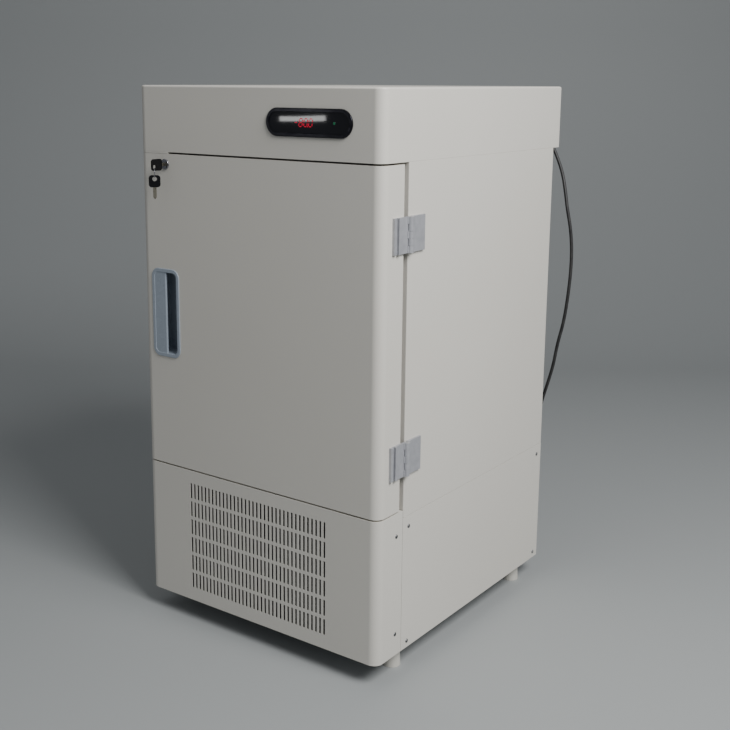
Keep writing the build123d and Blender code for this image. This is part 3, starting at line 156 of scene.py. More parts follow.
plug_low, plug_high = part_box("mains_plug")
plug_z = (plug_low.z + plug_high.z) / 2
plug_y = (plug_low.y + plug_high.y) / 2
tail_step = 0.014
tail_height = 0.0165
cord_points += [
    (coil_x - tail_step, plug_y, tail_height),
    (coil_x - 2 * tail_step, plug_y, plug_z),
    (plug_high.x, plug_y, plug_z),
]
cord_curve = bpy.data.curves.new("mains_cord_sheath", "CURVE")
cord_curve.dimensions = "3D"
cord_spline = cord_curve.splines.new("NURBS")
cord_spline.points.add(len(cord_points) - 1)
for point, place in zip(cord_spline.points, cord_points):
    point.co = (*place, 1)
cord_spline.order_u = 3
cord_spline.use_endpoint_u = True
cord_spline.resolution_u = 8
cord_curve.bevel_depth = cord_diameter / 2
cord_curve.bevel_resolution = 4
cord = in_scene("mains_cord_sheath", cord_curve)


def finish(name, colour, roughness, metallic=0.0):
    """A new surface finish with its plain settings on the shader."""
    material = bpy.data.materials.new(name)
    material.use_nodes = True
    shader = material.node_tree.nodes["Principled BSDF"]
    shader.inputs["Base Color"].default_value = (*colour, 1)
    shader.inputs["Roughness"].default_value = roughness
    shader.inputs["Metallic"].default_value = metallic
    return material


def grain(material, grains_per_metre, detail=3.0, stretch=(1, 1, 1)):
    """Noise fixed to the piece; stretch below 1 draws the grain out along that axis."""
    nodes, links = material.node_tree.nodes, material.node_tree.links
    place = nodes.new("ShaderNodeTexCoord")
    mapping = nodes.new("ShaderNodeMapping")
    mapping.inputs["Scale"].default_value = stretch
    noise = nodes.new("ShaderNodeTexNoise")
    noise.inputs["Scale"].default_value = grains_per_metre
    noise.inputs["Detail"].default_value = detail
    links.new(place.outputs["Object"], mapping.inputs["Vector"])
    links.new(mapping.outputs["Vector"], noise.inputs["Vector"])
    return noise.outputs["Fac"]


def tint(material, amount, dark, light, low=0.3, high=0.7):
    """Colours the surface between two tones where the amount goes from low to high."""
    nodes, links = material.node_tree.nodes, material.node_tree.links
    ramp = nodes.new("ShaderNodeValToRGB")
    ramp.color_ramp.elements[0].position = low
    ramp.color_ramp.elements[1].position = high
    ramp.color_ramp.elements[0].color = (*dark, 1)
    ramp.color_ramp.elements[1].color = (*light, 1)
    links.new(amount, ramp.inputs["Fac"])
    links.new(ramp.outputs["Color"], nodes["Principled BSDF"].inputs["Base Color"])


def relief(material, amount, depth, strength=1.0):
    """Bumps of a real depth in metres."""
    nodes, links = material.node_tree.nodes, material.node_tree.links
    bump = nodes.new("ShaderNodeBump")
    bump.inputs["Distance"].default_value = depth
    bump.inputs["Strength"].default_value = strength
    links.new(amount, bump.inputs["Height"])
    links.new(bump.outputs["Normal"], nodes["Principled BSDF"].inputs["Normal"])


def polish(material, amount, glossy, dull, low=0.3, high=0.7):
    """Roughness between two values where the amount goes from low to high."""
    nodes, links = material.node_tree.nodes, material.node_tree.links
    band = nodes.new("ShaderNodeMapRange")
    band.inputs["From Min"].default_value = low
    band.inputs["From Max"].default_value = high
    band.inputs["To Min"].default_value = glossy
    band.inputs["To Max"].default_value = dull
    links.new(amount, band.inputs["Value"])
    links.new(band.outputs["Result"], nodes["Principled BSDF"].inputs["Roughness"])


sheath = finish("cord_sheath", (0.02, 0.02, 0.021), 0.5)
sheath_dust = grain(sheath, 60, 4)
tint(sheath, sheath_dust, (0.012, 0.012, 0.013), (0.035, 0.034, 0.033))
polish(sheath, sheath_dust, 0.42, 0.62)
relief(sheath, grain(sheath, 1400, 2), 0.00008)
cord_curve.materials.append(sheath)
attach(cord, "cabinet")
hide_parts("mains_cord", "cord_coil")


# Moulded pieces on the cord: the black gland that clamps it in the hood, and the plug with its pins.
# The pins are plated brass, pushed into the plug while it is moulded round the cord's end.
weld_distance = 0.00001


def settled(piece):
    """The mesh of an object as its modifiers or its curve settings leave it."""
    bpy.context.view_layer.update()
    evaluated = piece.evaluated_get(bpy.context.evaluated_depsgraph_get())
    return bpy.data.meshes.new_from_object(evaluated)


def rolled_edges(node, radius, sharp_from=35):
    """A copy of a solid with its edges rounded, which stands for it in the scene."""
    source = frame["nodes"][node]
    mesh = source.data.copy()
    solid = bmesh.new()
    solid.from_mesh(mesh)
    bmesh.ops.remove_doubles(solid, verts=solid.verts, dist=weld_distance)
    bmesh.ops.dissolve_limit(
        solid, angle_limit=math.radians(0.5), verts=solid.verts, edges=solid.edges
    )
    solid.to_mesh(mesh)
    solid.free()
    mesh.materials.clear()
    piece = in_scene(node + "_finished", mesh)
    if radius:
        bevel = piece.modifiers.new("rolled edges", "BEVEL")
        bevel.width = radius
        bevel.segments = 2
        bevel.limit_method = "ANGLE"
        bevel.angle_limit = math.radians(sharp_from)
    for face in mesh.polygons:
        face.use_smooth = True
    if not radius:
        mesh.set_sharp_from_angle(angle=math.radians(sharp_from))
    even = piece.modifiers.new("even shading", "WEIGHTED_NORMAL")
    even.keep_sharp = True
    even.weight = 100
    piece.data = settled(piece)
    piece.modifiers.clear()
    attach(piece, source["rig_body"])
    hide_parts(node)
    return piece


def coat(pieces, material):
    """One finish for solids, given by name, or for new pieces."""
    for piece in pieces:
        target = frame["nodes"][piece] if isinstance(piece, str) else piece
        target.data.materials.clear()
        target.data.materials.append(material)


def second_finish(piece, material, belongs):
    """A second finish on the faces whose middle passes the test."""
    piece.data.materials.append(material)
    for face in piece.data.polygons:
        if belongs(face.center):
            face.material_index = 1


def moulded(name, colour, shade, roughness, texture=0.00003):
    """Moulded plastic: slight clouding, a spark-eroded texture and uneven gloss."""
    material = finish(name, colour, roughness)
    tint(material, grain(material, 8, 4), shade, colour)
    polish(material, grain(material, 45, 3), roughness - 0.06, roughness + 0.06)
    relief(material, grain(material, 2200, 2), texture, 0.5)
    return material


def plated(name, colour, shade, roughness):
    """Plated or bare metal with faint clouding and fine handling marks."""
    material = finish(name, colour, roughness, 1.0)
    tint(material, grain(material, 70, 4), shade, colour)
    polish(material, grain(material, 260, 3), roughness - 0.05, roughness + 0.08)
    return material


black_moulding = moulded("black_moulding", (0.018, 0.018, 0.019), (0.012, 0.012, 0.013), 0.42)
pin_brass = plated("pin_brass", (0.78, 0.62, 0.36), (0.70, 0.54, 0.30), 0.24)
gland = rolled_edges("cord_gland", 0.0005)
coat([gland], black_moulding)
pin_length = 0.018
plug = rolled_edges("mains_plug", 0.0005)
coat([plug], black_moulding)
second_finish(plug, pin_brass, lambda middle: middle.x < plug_low.x + pin_length)

# Levelling feet and base frame: the feet are off-white moulded pads on plated studs.
# The frame is a galvanised pan with four posts, spot welded, that carries the cabinet.
foot_white = moulded("foot_white", (0.66, 0.64, 0.58), (0.58, 0.56, 0.50), 0.5)
stud_zinc = plated("stud_zinc", (0.62, 0.63, 0.64), (0.50, 0.51, 0.52), 0.34)
pad_top = 0.0302
feet = rolled_edges("levelling_feet", 0.0006)
coat([feet], foot_white)
second_finish(feet, stud_zinc, lambda middle: middle.z > pad_top)


def galvanised(name):
    """Hot-dip zinc: flat crystals a few millimetres across, each with its own tone."""
    material = finish(name, (0.56, 0.58, 0.60), 0.42, 0.85)
    nodes, links = material.node_tree.nodes, material.node_tree.links
    place = nodes.new("ShaderNodeTexCoord")
    crystals = nodes.new("ShaderNodeTexVoronoi")
    crystals.inputs["Scale"].default_value = 140
    links.new(place.outputs["Object"], crystals.inputs["Vector"])
    tone = nodes.new("ShaderNodeSeparateColor")
    links.new(crystals.outputs["Color"], tone.inputs["Color"])
    tint(material, tone.outputs["Red"], (0.46, 0.48, 0.50), (0.62, 0.64, 0.66), 0.0, 1.0)
    polish(material, tone.outputs["Green"], 0.34, 0.52, 0.0, 1.0)
    return material


zinc_sheet = galvanised("zinc_sheet")
coat(["base_frame", "fan_shroud", "motor_bracket"], zinc_sheet)

# Refrigeration unit: a welded black compressor on rubber grommets, copper pipes brazed to it.
# A finned condenser stands behind the grille, with a fan behind it that blows to the back.
enamel = finish("black_enamel", (0.016, 0.016, 0.017), 0.34)
tint(enamel, grain(enamel, 12, 4), (0.010, 0.010, 0.011), (0.028, 0.028, 0.029))
relief(enamel, grain(enamel, 420, 2), 0.00012, 0.7)
compressor = rolled_edges("compressor", 0.001)
motor = rolled_edges("fan_motor", 0.0006)
coat([compressor, motor], enamel)
grommet_rubber = moulded("grommet_rubber", (0.02, 0.02, 0.02), (0.035, 0.034, 0.033), 0.7)
coat(["compressor_grommets"], grommet_rubber)
fan = rolled_edges("fan_blade", 0.0004)
coat([fan], black_moulding)
copper = plated("copper_tube", (0.80, 0.42, 0.28), (0.52, 0.25, 0.16), 0.30)
coat(["evaporator"], copper)
drier = rolled_edges("filter_drier", 0)
pipes = rolled_edges("refrigerant_pipes", 0)
coat([drier, pipes], copper)

core_low, core_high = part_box("condenser")
fin_count = 72
fin_columns = 13
ripple_rate = 780.0
tube_stub = 0.008
fin_tree = bpy.data.node_groups.new("condenser_fins", "GeometryNodeTree")
fin_tree.interface.new_socket("Geometry", in_out="OUTPUT", socket_type="NodeSocketGeometry")
fin_sizes = {
    "Fins": ("NodeSocketInt", fin_count),
    "Core width": ("NodeSocketFloat", core_high.x - core_low.x - 2 * tube_stub),
    "Core depth": ("NodeSocketFloat", core_high.y - core_low.y),
    "Core height": ("NodeSocketFloat", core_high.z - core_low.z),
    "Fin wall": ("NodeSocketFloat", 0.0003),
    "Ripple": ("NodeSocketFloat", 0.0009),
}
fin_sockets = {}
for label, (kind, size) in fin_sizes.items():
    socket = fin_tree.interface.new_socket(label, in_out="INPUT", socket_type=kind)
    fin_sockets[label] = (socket.identifier, size)


def place_node(tree, kind, inputs=None, **settings):
    """A node of a tree with its settings, linked to or filled with what its inputs name."""
    node = tree.nodes.new(kind)
    for key, setting in settings.items():
        setattr(node, key, setting)
    for key, value in (inputs or {}).items():
        if isinstance(value, bpy.types.NodeSocket):
            tree.links.new(value, node.inputs[key])
        else:
            node.inputs[key].default_value = value
    return node


def maths(tree, operation, first, second=0.0):
    """One sum on two values or sockets."""
    node = place_node(tree, "ShaderNodeMath", {0: first, 1: second}, operation=operation)
    return node.outputs[0]


fin_in = place_node(fin_tree, "NodeGroupInput").outputs
fin_plate = place_node(
    fin_tree,
    "GeometryNodeMeshGrid",
    {
        "Size X": fin_in["Core depth"],
        "Size Y": fin_in["Core height"],
        "Vertices X": fin_columns,
        "Vertices Y": 2,
    },
)
plate_place = place_node(fin_tree, "GeometryNodeInputPosition")
plate_xyz = place_node(fin_tree, "ShaderNodeSeparateXYZ", {0: plate_place.outputs[0]})
ripple_angle = maths(fin_tree, "MULTIPLY", plate_xyz.outputs["X"], ripple_rate)
ripple_wave = maths(fin_tree, "SINE", ripple_angle)
ripple_height = maths(fin_tree, "MULTIPLY", ripple_wave, fin_in["Ripple"])
ripple_offset = place_node(fin_tree, "ShaderNodeCombineXYZ", {"Z": ripple_height})
rippled = place_node(
    fin_tree,
    "GeometryNodeSetPosition",
    {"Geometry": fin_plate.outputs["Mesh"], "Offset": ripple_offset.outputs[0]},
)
upright_fin = place_node(
    fin_tree,
    "GeometryNodeTransform",
    {"Geometry": rippled.outputs[0], "Rotation": (math.pi / 2, 0, math.pi / 2)},
)
fin_body = place_node(
    fin_tree,
    "GeometryNodeExtrudeMesh",
    {"Mesh": upright_fin.outputs[0], "Offset Scale": fin_in["Fin wall"], "Individual": False},
)
fin_back = place_node(fin_tree, "GeometryNodeFlipFaces", {0: upright_fin.outputs[0]})
fin_closed = place_node(fin_tree, "GeometryNodeJoinGeometry")
fin_tree.links.new(fin_body.outputs["Mesh"], fin_closed.inputs[0])
fin_tree.links.new(fin_back.outputs[0], fin_closed.inputs[0])
fin_whole = place_node(
    fin_tree,
    "GeometryNodeMergeByDistance",
    {"Geometry": fin_closed.outputs[0], "Distance": weld_distance},
)
gaps = maths(fin_tree, "SUBTRACT", fin_in["Fins"], 1.0)
run = maths(fin_tree, "SUBTRACT", fin_in["Core width"], fin_in["Fin wall"])
pitch = maths(fin_tree, "DIVIDE", run, gaps)
start = maths(fin_tree, "MULTIPLY", fin_in["Core width"], -0.5)
fin_row = place_node(
    fin_tree,
    "GeometryNodeMeshLine",
    {
        "Count": fin_in["Fins"],
        "Start Location": place_node(fin_tree, "ShaderNodeCombineXYZ", {"X": start}).outputs[0],
        "Offset": place_node(fin_tree, "ShaderNodeCombineXYZ", {"X": pitch}).outputs[0],
    },
    mode="OFFSET",
)
fins_placed = place_node(
    fin_tree,
    "GeometryNodeInstanceOnPoints",
    {"Points": fin_row.outputs["Mesh"], "Instance": fin_whole.outputs[0]},
)
fins_real = place_node(fin_tree, "GeometryNodeRealizeInstances", {0: fins_placed.outputs[0]})
mill_aluminium = plated("mill_aluminium", (0.74, 0.75, 0.76), (0.64, 0.65, 0.66), 0.32)
fins_coated = place_node(
    fin_tree,
    "GeometryNodeSetMaterial",
    {"Geometry": fins_real.outputs[0], "Material": mill_aluminium},
)
place_node(fin_tree, "NodeGroupOutput", {0: fins_coated.outputs[0]})


def grown(name, tree, settings, mesh=None):
    """Runs a tree on an object and keeps what it makes as a plain mesh."""
    piece = in_scene(name, mesh or bpy.data.meshes.new(name))
    modifier = piece.modifiers.new("tree", "NODES")
    modifier.node_group = tree
    for identifier, value in settings:
        modifier[identifier] = value
    piece.data = settled(piece)
    piece.modifiers.clear()
    return piece


fins = grown("condenser_fins", fin_tree, fin_sockets.values())
core_middle = (core_low + core_high) / 2
fins.data.transform(Matrix.Translation(core_middle))
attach(fins, "cabinet")
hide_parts("condenser")

# Tubes of the condenser: one copper run through the fins, bent back at each end of a row
tube_rows = 5
tube_radius = 0.0045
bend_reach = 0.014
bend_start = 1.02
open_end = 1.05
row_pitch = (core_high.z - core_low.z) / tube_rows
tube_run = []
for row in range(tube_rows):
    z = core_low.z + row_pitch * (row + 0.5)
    way = -1 if row % 2 else 1
    first, last = row == 0, row == tube_rows - 1
    near, far = -way * (core_high.x - tube_stub), way * (core_high.x - tube_stub)
    if not first:
        tube_run.append((near * bend_start - way * bend_reach, z))
    tube_run += [(near * (open_end if first else 1), z), (0, z), (far * (open_end if last else 1), z)]
    if not last:
        tube_run.append((far * bend_start + way * bend_reach, z))
tube_curve = bpy.data.curves.new("condenser_tube", "CURVE")
tube_curve.dimensions = "3D"
tube_spline = tube_curve.splines.new("NURBS")
tube_spline.points.add(len(tube_run) - 1)
for point, (x, z) in zip(tube_spline.points, tube_run):
    point.co = (x, core_middle.y, z, 1)
tube_spline.order_u = 3
tube_spline.use_endpoint_u = True
tube_curve.bevel_depth = tube_radius
tube_curve.bevel_resolution = 3
tube_curve.use_fill_caps = True
tube_object = in_scene("condenser_tube", tube_curve)
tube = in_scene("condenser_tubes", settled(tube_object))
bpy.data.objects.remove(tube_object)
coat([tube], copper)
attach(tube, "cabinet")

# Lower panels: cold-rolled sheet, punched, folded and powder coated in the cabinet's warm white.
# The front one wraps both corners, and its six rows of slots let air in to the condenser.
def powder_coat(name, colour, shade):
    """Powder coat: faint drift of tone over the panel and a fine orange peel."""
    material = finish(name, colour, 0.42)
    tint(material, grain(material, 2.2, 4), shade, colour)
    polish(material, grain(material, 24, 4), 0.38, 0.48)
    relief(material, grain(material, 620, 2), 0.00005, 0.5)
    return material


paint = powder_coat("powder_coat", (0.70, 0.675, 0.615), (0.68, 0.652, 0.592))
lower_panels = [
    rolled_edges(node, 0.0004)
    for node in (
        "base_front_panel",
        "base_side_panel_left",
        "base_side_panel_right",
        "base_rear_panel",
    )
]
coat(lower_panels, paint)

# Panel screws: dark plated pan heads with a cross recess, driven through the lower panels.
# Each stopped where it bit, so no two crosses stand the same way.
head_radius = 0.004
head_rise = 0.0016
head_facets = 20
recess_size = (0.0042, 0.0009, 0.0018)
turn_seed = 7
head_mesh = bpy.data.meshes.new("screw_head")
head = bmesh.new()
dome = [(head_radius, 0), (head_radius, 0.0005), (0.0035, 0.0012), (0.0022, head_rise), (0, head_rise)]
rim = [head.verts.new((x, 0, z)) for x, z in dome]
for lower, upper in zip(rim, rim[1:]):
    head.edges.new((lower, upper))
bmesh.ops.spin(
    head,
    geom=head.verts[:] + head.edges[:],
    axis=(0, 0, 1),
    cent=(0, 0, 0),
    steps=head_facets,
    angle=2 * math.pi,
)
bmesh.ops.remove_doubles(head, verts=head.verts, dist=weld_distance)
bmesh.ops.contextual_create(head, geom=[e for e in head.edges if e.is_boundary])
bmesh.ops.recalc_face_normals(head, faces=head.faces)
head.to_mesh(head_mesh)
head.free()
cross_mesh = bpy.data.meshes.new("cross_recess")
cross = bmesh.new()
for turn in (0, math.pi / 2):
    bar = Matrix.Translation((0, 0, head_rise)) @ Matrix.Rotation(turn, 4, "Z")
    bmesh.ops.create_cube(cross, size=1, matrix=bar @ Matrix.Diagonal((*recess_size, 1)))
cross.to_mesh(cross_mesh)
cross.free()
head_object = in_scene("screw_head", head_mesh)
cross_object = in_scene("cross_recess", cross_mesh)
recess = head_object.modifiers.new("recess", "BOOLEAN")
recess.operation = "DIFFERENCE"
recess.use_self = True
recess.object = cross_object
head_object.data = settled(head_object)
head_object.modifiers.clear()
bpy.data.objects.remove(cross_object)


def middles(node):
    """Middle of each separate solid of a node."""
    solid = bmesh.new()
    solid.from_mesh(frame["nodes"][node].data)
    bmesh.ops.remove_doubles(solid, verts=solid.verts, dist=weld_distance)
    left, found = set(solid.verts), []
    while left:
        reached = [left.pop()]
        for vert in reached:
            near = {edge.other_vert(vert) for edge in vert.link_edges} & left
            left -= near
            reached += near
        low = Vector([min(v.co[i] for v in reached) for i in range(3)])
        high = Vector([max(v.co[i] for v in reached) for i in range(3)])
        found.append((low + high) / 2)
    solid.free()
    return found


screw_places = bpy.data.meshes.new("screw_places")
screw_middles = [
    (math.copysign(abs(place.x) - head_rise / 2, place.x), place.y, place.z)
    for place in middles("panel_screws")
]
screw_places.from_pydata(screw_middles, [], [])
facing = screw_places.attributes.new("facing", "FLOAT_VECTOR", "POINT")
facing.data.foreach_set(
    "vector",
    [value for middle in screw_middles for value in (math.copysign(1, middle[0]), 0, 0)],
)
screw_tree = bpy.data.node_groups.new("panel_screws", "GeometryNodeTree")
screw_tree.interface.new_socket("Geometry", in_out="INPUT", socket_type="NodeSocketGeometry")
screw_head = screw_tree.interface.new_socket(
    "Screw head", in_out="INPUT", socket_type="NodeSocketObject"
)
screw_seed = screw_tree.interface.new_socket("Turn seed", in_out="INPUT", socket_type="NodeSocketInt")
screw_tree.interface.new_socket("Geometry", in_out="OUTPUT", socket_type="NodeSocketGeometry")
screw_in = place_node(screw_tree, "NodeGroupInput").outputs
way_out = place_node(
    screw_tree, "GeometryNodeInputNamedAttribute", {"Name": "facing"}, data_type="FLOAT_VECTOR"
)
upright = place_node(
    screw_tree, "FunctionNodeAlignRotationToVector", {"Vector": way_out.outputs[0]}, axis="Z"
)
stop = place_node(
    screw_tree, "FunctionNodeRandomValue", {"Max": math.pi, "Seed": screw_in["Turn seed"]}
)
stop_turn = place_node(
    screw_tree,
    "FunctionNodeEulerToRotation",
    {0: place_node(screw_tree, "ShaderNodeCombineXYZ", {"Z": stop.outputs[1]}).outputs[0]},
)
turned = place_node(
    screw_tree,
    "FunctionNodeRotateRotation",
    {"Rotation": upright.outputs[0], "Rotate By": stop_turn.outputs[0]},
    rotation_space="LOCAL",
)
head_info = place_node(screw_tree, "GeometryNodeObjectInfo", {"Object": screw_in["Screw head"]})
screws_placed = place_node(
    screw_tree,
    "GeometryNodeInstanceOnPoints",
    {
        "Points": screw_in["Geometry"],
        "Instance": head_info.outputs["Geometry"],
        "Rotation": turned.outputs[0],
    },
)
screws_real = place_node(screw_tree, "GeometryNodeRealizeInstances", {0: screws_placed.outputs[0]})
dark_plating = plated("dark_plating", (0.22, 0.225, 0.23), (0.14, 0.145, 0.15), 0.36)
screws_coated = place_node(
    screw_tree,
    "GeometryNodeSetMaterial",
    {"Geometry": screws_real.outputs[0], "Material": dark_plating},
)
place_node(screw_tree, "NodeGroupOutput", {0: screws_coated.outputs[0]})
screws = grown(
    "panel_screw_heads",
    screw_tree,
    [(screw_head.identifier, head_object), (screw_seed.identifier, turn_seed)],
    screw_places,
)
bpy.data.objects.remove(head_object)
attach(screws, "cabinet")
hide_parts("panel_screws")

# Cabinet: outer shell in powder coat, foamed in place round a deep-drawn stainless liner.
# A white moulded frame bridges the two at the mouth and keeps the cold from the outer sheet.
shell = rolled_edges("cabinet_shell", 0.0005)
coat([shell], paint)
scratch_stretch = 0.012


def brushed(name, colour, shade, roughness, along):
    """Brushed stainless: fine scratches drawn out along one axis."""
    material = finish(name, colour, roughness, 1.0)
    stretch = [1.0, 1.0, 1.0]
    stretch["xyz".index(along)] = scratch_stretch
    scratches = grain(material, 1500, 2, stretch)
    tint(material, scratches, shade, colour)
    polish(material, scratches, roughness - 0.06, roughness + 0.08)
    relief(material, scratches, 0.00001, 0.4)
    return material


stainless_upright = brushed("stainless_upright", (0.70, 0.71, 0.72), (0.58, 0.59, 0.60), 0.32, "z")
stainless_level = brushed("stainless_level", (0.72, 0.73, 0.74), (0.60, 0.61, 0.62), 0.30, "x")
liner = rolled_edges("inner_liner", 0)
rails = rolled_edges("shelf_rails", 0.0004)
coat([liner, rails], stainless_upright)
shelves = [rolled_edges(node, 0.0004) for node in ("shelf_lower", "shelf_middle", "shelf_upper")]
clips = rolled_edges("shelf_clips", 0.0005)
coat(shelves + [clips], stainless_level)
foam = finish("rigid_foam", (0.80, 0.72, 0.50), 0.85)
tint(foam, grain(foam, 25, 5), (0.72, 0.62, 0.40), (0.84, 0.77, 0.56))
relief(foam, grain(foam, 900, 3), 0.0004)
coat(["cabinet_foam", "door_foam"], foam)
white_moulding = moulded("white_moulding", (0.76, 0.77, 0.76), (0.72, 0.73, 0.72), 0.4)
breaker = rolled_edges("breaker_frame", 0.0008)
coat([breaker], white_moulding)

# Inner doors: two white moulded doors with finger pulls, on steel pins in stainless brackets.
# Each closes on a white frame with its own soft ring of seal.
inner_white = [
    rolled_edges(node, 0.0012) for node in ("inner_frame", "inner_door_lower", "inner_door_upper")
]
coat(inner_white, white_moulding)
seal_rubber = moulded("seal_rubber", (0.30, 0.275, 0.25), (0.24, 0.22, 0.20), 0.62)
inner_seals = [rolled_edges(node, 0.0012) for node in ("inner_gasket_lower", "inner_gasket_upper")]
coat(inner_seals, seal_rubber)
plain_steel = plated("plain_steel", (0.56, 0.56, 0.57), (0.44, 0.44, 0.45), 0.30)
brackets = rolled_edges("inner_hinge_brackets", 0.0005)
coat([brackets], stainless_level)
coat(["inner_hinge_pins"], plain_steel)

# Outer door: a folded steel pan and a formed white inner panel with foam between them.
# A magnetic bellows gasket is pressed into a groove round the inner panel.
door = rolled_edges("door_skin", 0.0006)
coat([door], paint)
door_panel = rolled_edges("door_liner", 0)
coat([door_panel], white_moulding)
door_seal = rolled_edges("door_gasket", 0.001)
coat([door_seal], seal_rubber)

# Handle: one blue-grey gloss moulding, clipped into the door, with a rim, a tub and a grip lip.
# Fingers go in at the right and pull on the lip that covers the left half.
handle_grey = moulded("handle_grey", (0.36, 0.41, 0.47), (0.33, 0.38, 0.44), 0.28, 0.00001)
handle = rolled_edges("handle_cup", 0.0004, sharp_from=40)
coat([handle], handle_grey)

# Lock: a chromed cam lock with its key in it, a split ring and a spare key that hangs from it.
# The bows are black mouldings over nickel-brass blades. The chrome's base colour is darkened as a
# painted reflection of a dark room.
# Painted reflection: the chrome's colour is set dark to stand for the dark room it mirrors.
chrome = plated("chrome_painted_dark_reflection", (0.34, 0.34, 0.37), (0.28, 0.28, 0.31), 0.12)
key_black = moulded("key_black", (0.005, 0.005, 0.006), (0.003, 0.003, 0.004), 0.34)
key_black.node_tree.nodes["Principled BSDF"].inputs["Specular IOR Level"].default_value = 0.25
nickel_brass = plated("nickel_brass", (0.50, 0.47, 0.38), (0.40, 0.37, 0.29), 0.30)
barrel = rolled_edges("lock_barrel", 0)
ring = rolled_edges("key_ring", 0)
coat([barrel, ring], chrome)
coat(["lock_nut", "lock_cam"], plain_steel)
lock_plug = rolled_edges("lock_plug", 0.0002)
coat([lock_plug], chrome)
front_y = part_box("door_skin")[0].y
key_neck = 0.010
seam = 0.0001
key = rolled_edges("key", 0.0006)
coat([key], key_black)
second_finish(key, nickel_brass, lambda middle: middle.y > front_y - key_neck + seam)
spare_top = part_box("spare_key")[1].z
spare_bow_height = 0.024
spare_key = rolled_edges("spare_key", 0.0006)
coat([spare_key], key_black)
second_finish(spare_key, nickel_brass, lambda middle: middle.z < spare_top - spare_bow_height - seam)

# Door hinges: cast and ribbed leaves in satin zinc, screwed from behind, on plain steel pins.
# One leaf is on the door's side and one on the cabinet's, and their knuckles take turns.
satin_zinc = finish("satin_zinc", (0.44, 0.445, 0.47), 0.4, 0.3)
tint(satin_zinc, grain(satin_zinc, 70, 4), (0.39, 0.395, 0.42), (0.46, 0.465, 0.49))
polish(satin_zinc, grain(satin_zinc, 260, 3), 0.34, 0.46)
relief(satin_zinc, grain(satin_zinc, 1600, 2), 0.00003, 0.6)
leaves = [
    rolled_edges(node, 0.0004)
    for node in (
        "door_hinge_leaf_lower",
        "door_hinge_leaf_upper",
        "cabinet_hinge_leaf_lower",
        "cabinet_hinge_leaf_upper",
    )
]
coat(leaves, satin_zinc)
coat(["hinge_pins"], plain_steel)

# Hood: one folded cover in the same coat, lifted off for service, over the control board.
# The lock's cam comes up through a slot in a filler strip under the hood's left end.
hood_pieces = [rolled_edges("hood", 0.0006), rolled_edges("lock_strike", 0.0003)]
coat(hood_pieces, paint)
laminate = moulded("green_laminate", (0.03, 0.15, 0.07), (0.02, 0.10, 0.05), 0.4)
boards = [rolled_edges("control_unit", 0.0005), rolled_edges("display_board", 0.0003)]
coat(boards, laminate)

# Display: a smoked acrylic lens in a dark bright-finished moulded ring, over a board of digits.
# Red seven-segment figures and one green lamp show through the lens.
dark_bright = finish("dark_bright_ring", (0.03, 0.03, 0.036), 0.14, 0.9)
tint(dark_bright, grain(dark_bright, 90, 3), (0.02, 0.02, 0.026), (0.045, 0.045, 0.052))
bezel = rolled_edges("display_bezel", 0)
coat([bezel], dark_bright)
smoked = finish("smoked_acrylic", (0.004, 0.004, 0.007), 0.03)
tint(smoked, grain(smoked, 14, 3), (0.003, 0.003, 0.005), (0.006, 0.006, 0.010))
lens = rolled_edges("display_lens", 0.0004)
coat([lens], smoked)

lens_low, lens_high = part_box("display_lens")
lens_middle = (lens_low + lens_high) / 2
figures = "-80.0"
figure_height = 0.014
figure_width = 0.0076
figure_pitch = 0.0112
figure_slant = math.tan(math.radians(8))
figure_rise = 0.00025
figure_wall = 0.0003
stroke = 0.0017
bar_inset = 0.56
dot_radius = 0.0011
digits_middle_x = lens_middle.x - 0.0115
bars_of = {"-": "g", "8": "abcdefg", "0": "abcdef"}
half_w, half_h = figure_width / 2, figure_height / 2
bar_ends = {
    "a": ((-half_w, half_h), (half_w, half_h)),
    "b": ((half_w, half_h), (half_w, 0)),
    "c": ((half_w, 0), (half_w, -half_h)),
    "d": ((-half_w, -half_h), (half_w, -half_h)),
    "e": ((-half_w, 0), (-half_w, -half_h)),
    "f": ((-half_w, half_h), (-half_w, 0)),
    "g": ((-half_w, 0), (half_w, 0)),
}
figure_mesh = bpy.data.meshes.new("display_figures")
figure_solid = bmesh.new()


def lit_bar(outline):
    """A thin lit shape on the lens, from points to the right and up from the digits' middle."""
    front = lens_low.y - figure_rise
    verts = [
        figure_solid.verts.new((digits_middle_x + x + z * figure_slant, front, lens_middle.z + z))
        for x, z in outline
    ]
    face = figure_solid.faces.new(verts)
    body = bmesh.ops.extrude_face_region(figure_solid, geom=[face])
    moved = [v for v in body["geom"] if isinstance(v, bmesh.types.BMVert)]
    bmesh.ops.translate(figure_solid, verts=moved, vec=(0, figure_wall, 0))


left_x = -figure_pitch * (len(figures.replace(".", "")) - 1) / 2
count = 0
for sign in figures:
    if sign == ".":
        dot_x = left_x + figure_pitch * (count - 0.5)
        around = [math.radians(step * 45) for step in range(8)]
        lit_bar(
            [(dot_x + dot_radius * math.cos(a), -half_h + dot_radius * math.sin(a)) for a in around]
        )
        continue
    for bar in bars_of[sign]:
        (x0, z0), (x1, z1) = bar_ends[bar]
        along = Vector((x1 - x0, z1 - z0))
        reach = along.length / 2 - stroke * bar_inset
        along.normalize()
        side = Vector((-along.y, along.x)) * stroke / 2
        middle = Vector(((x0 + x1) / 2 + left_x + figure_pitch * count, (z0 + z1) / 2))
        tip = along * reach
        shoulder = along * (reach - stroke / 2)
        outline = [
            middle - tip,
            middle - shoulder - side,
            middle + shoulder - side,
            middle + tip,
            middle + shoulder + side,
            middle - shoulder + side,
        ]
        lit_bar([(point.x, point.y) for point in outline])
    count += 1
bmesh.ops.recalc_face_normals(figure_solid, faces=figure_solid.faces)
figure_solid.to_mesh(figure_mesh)
figure_solid.free()
figures_piece = in_scene("display_figures", figure_mesh)


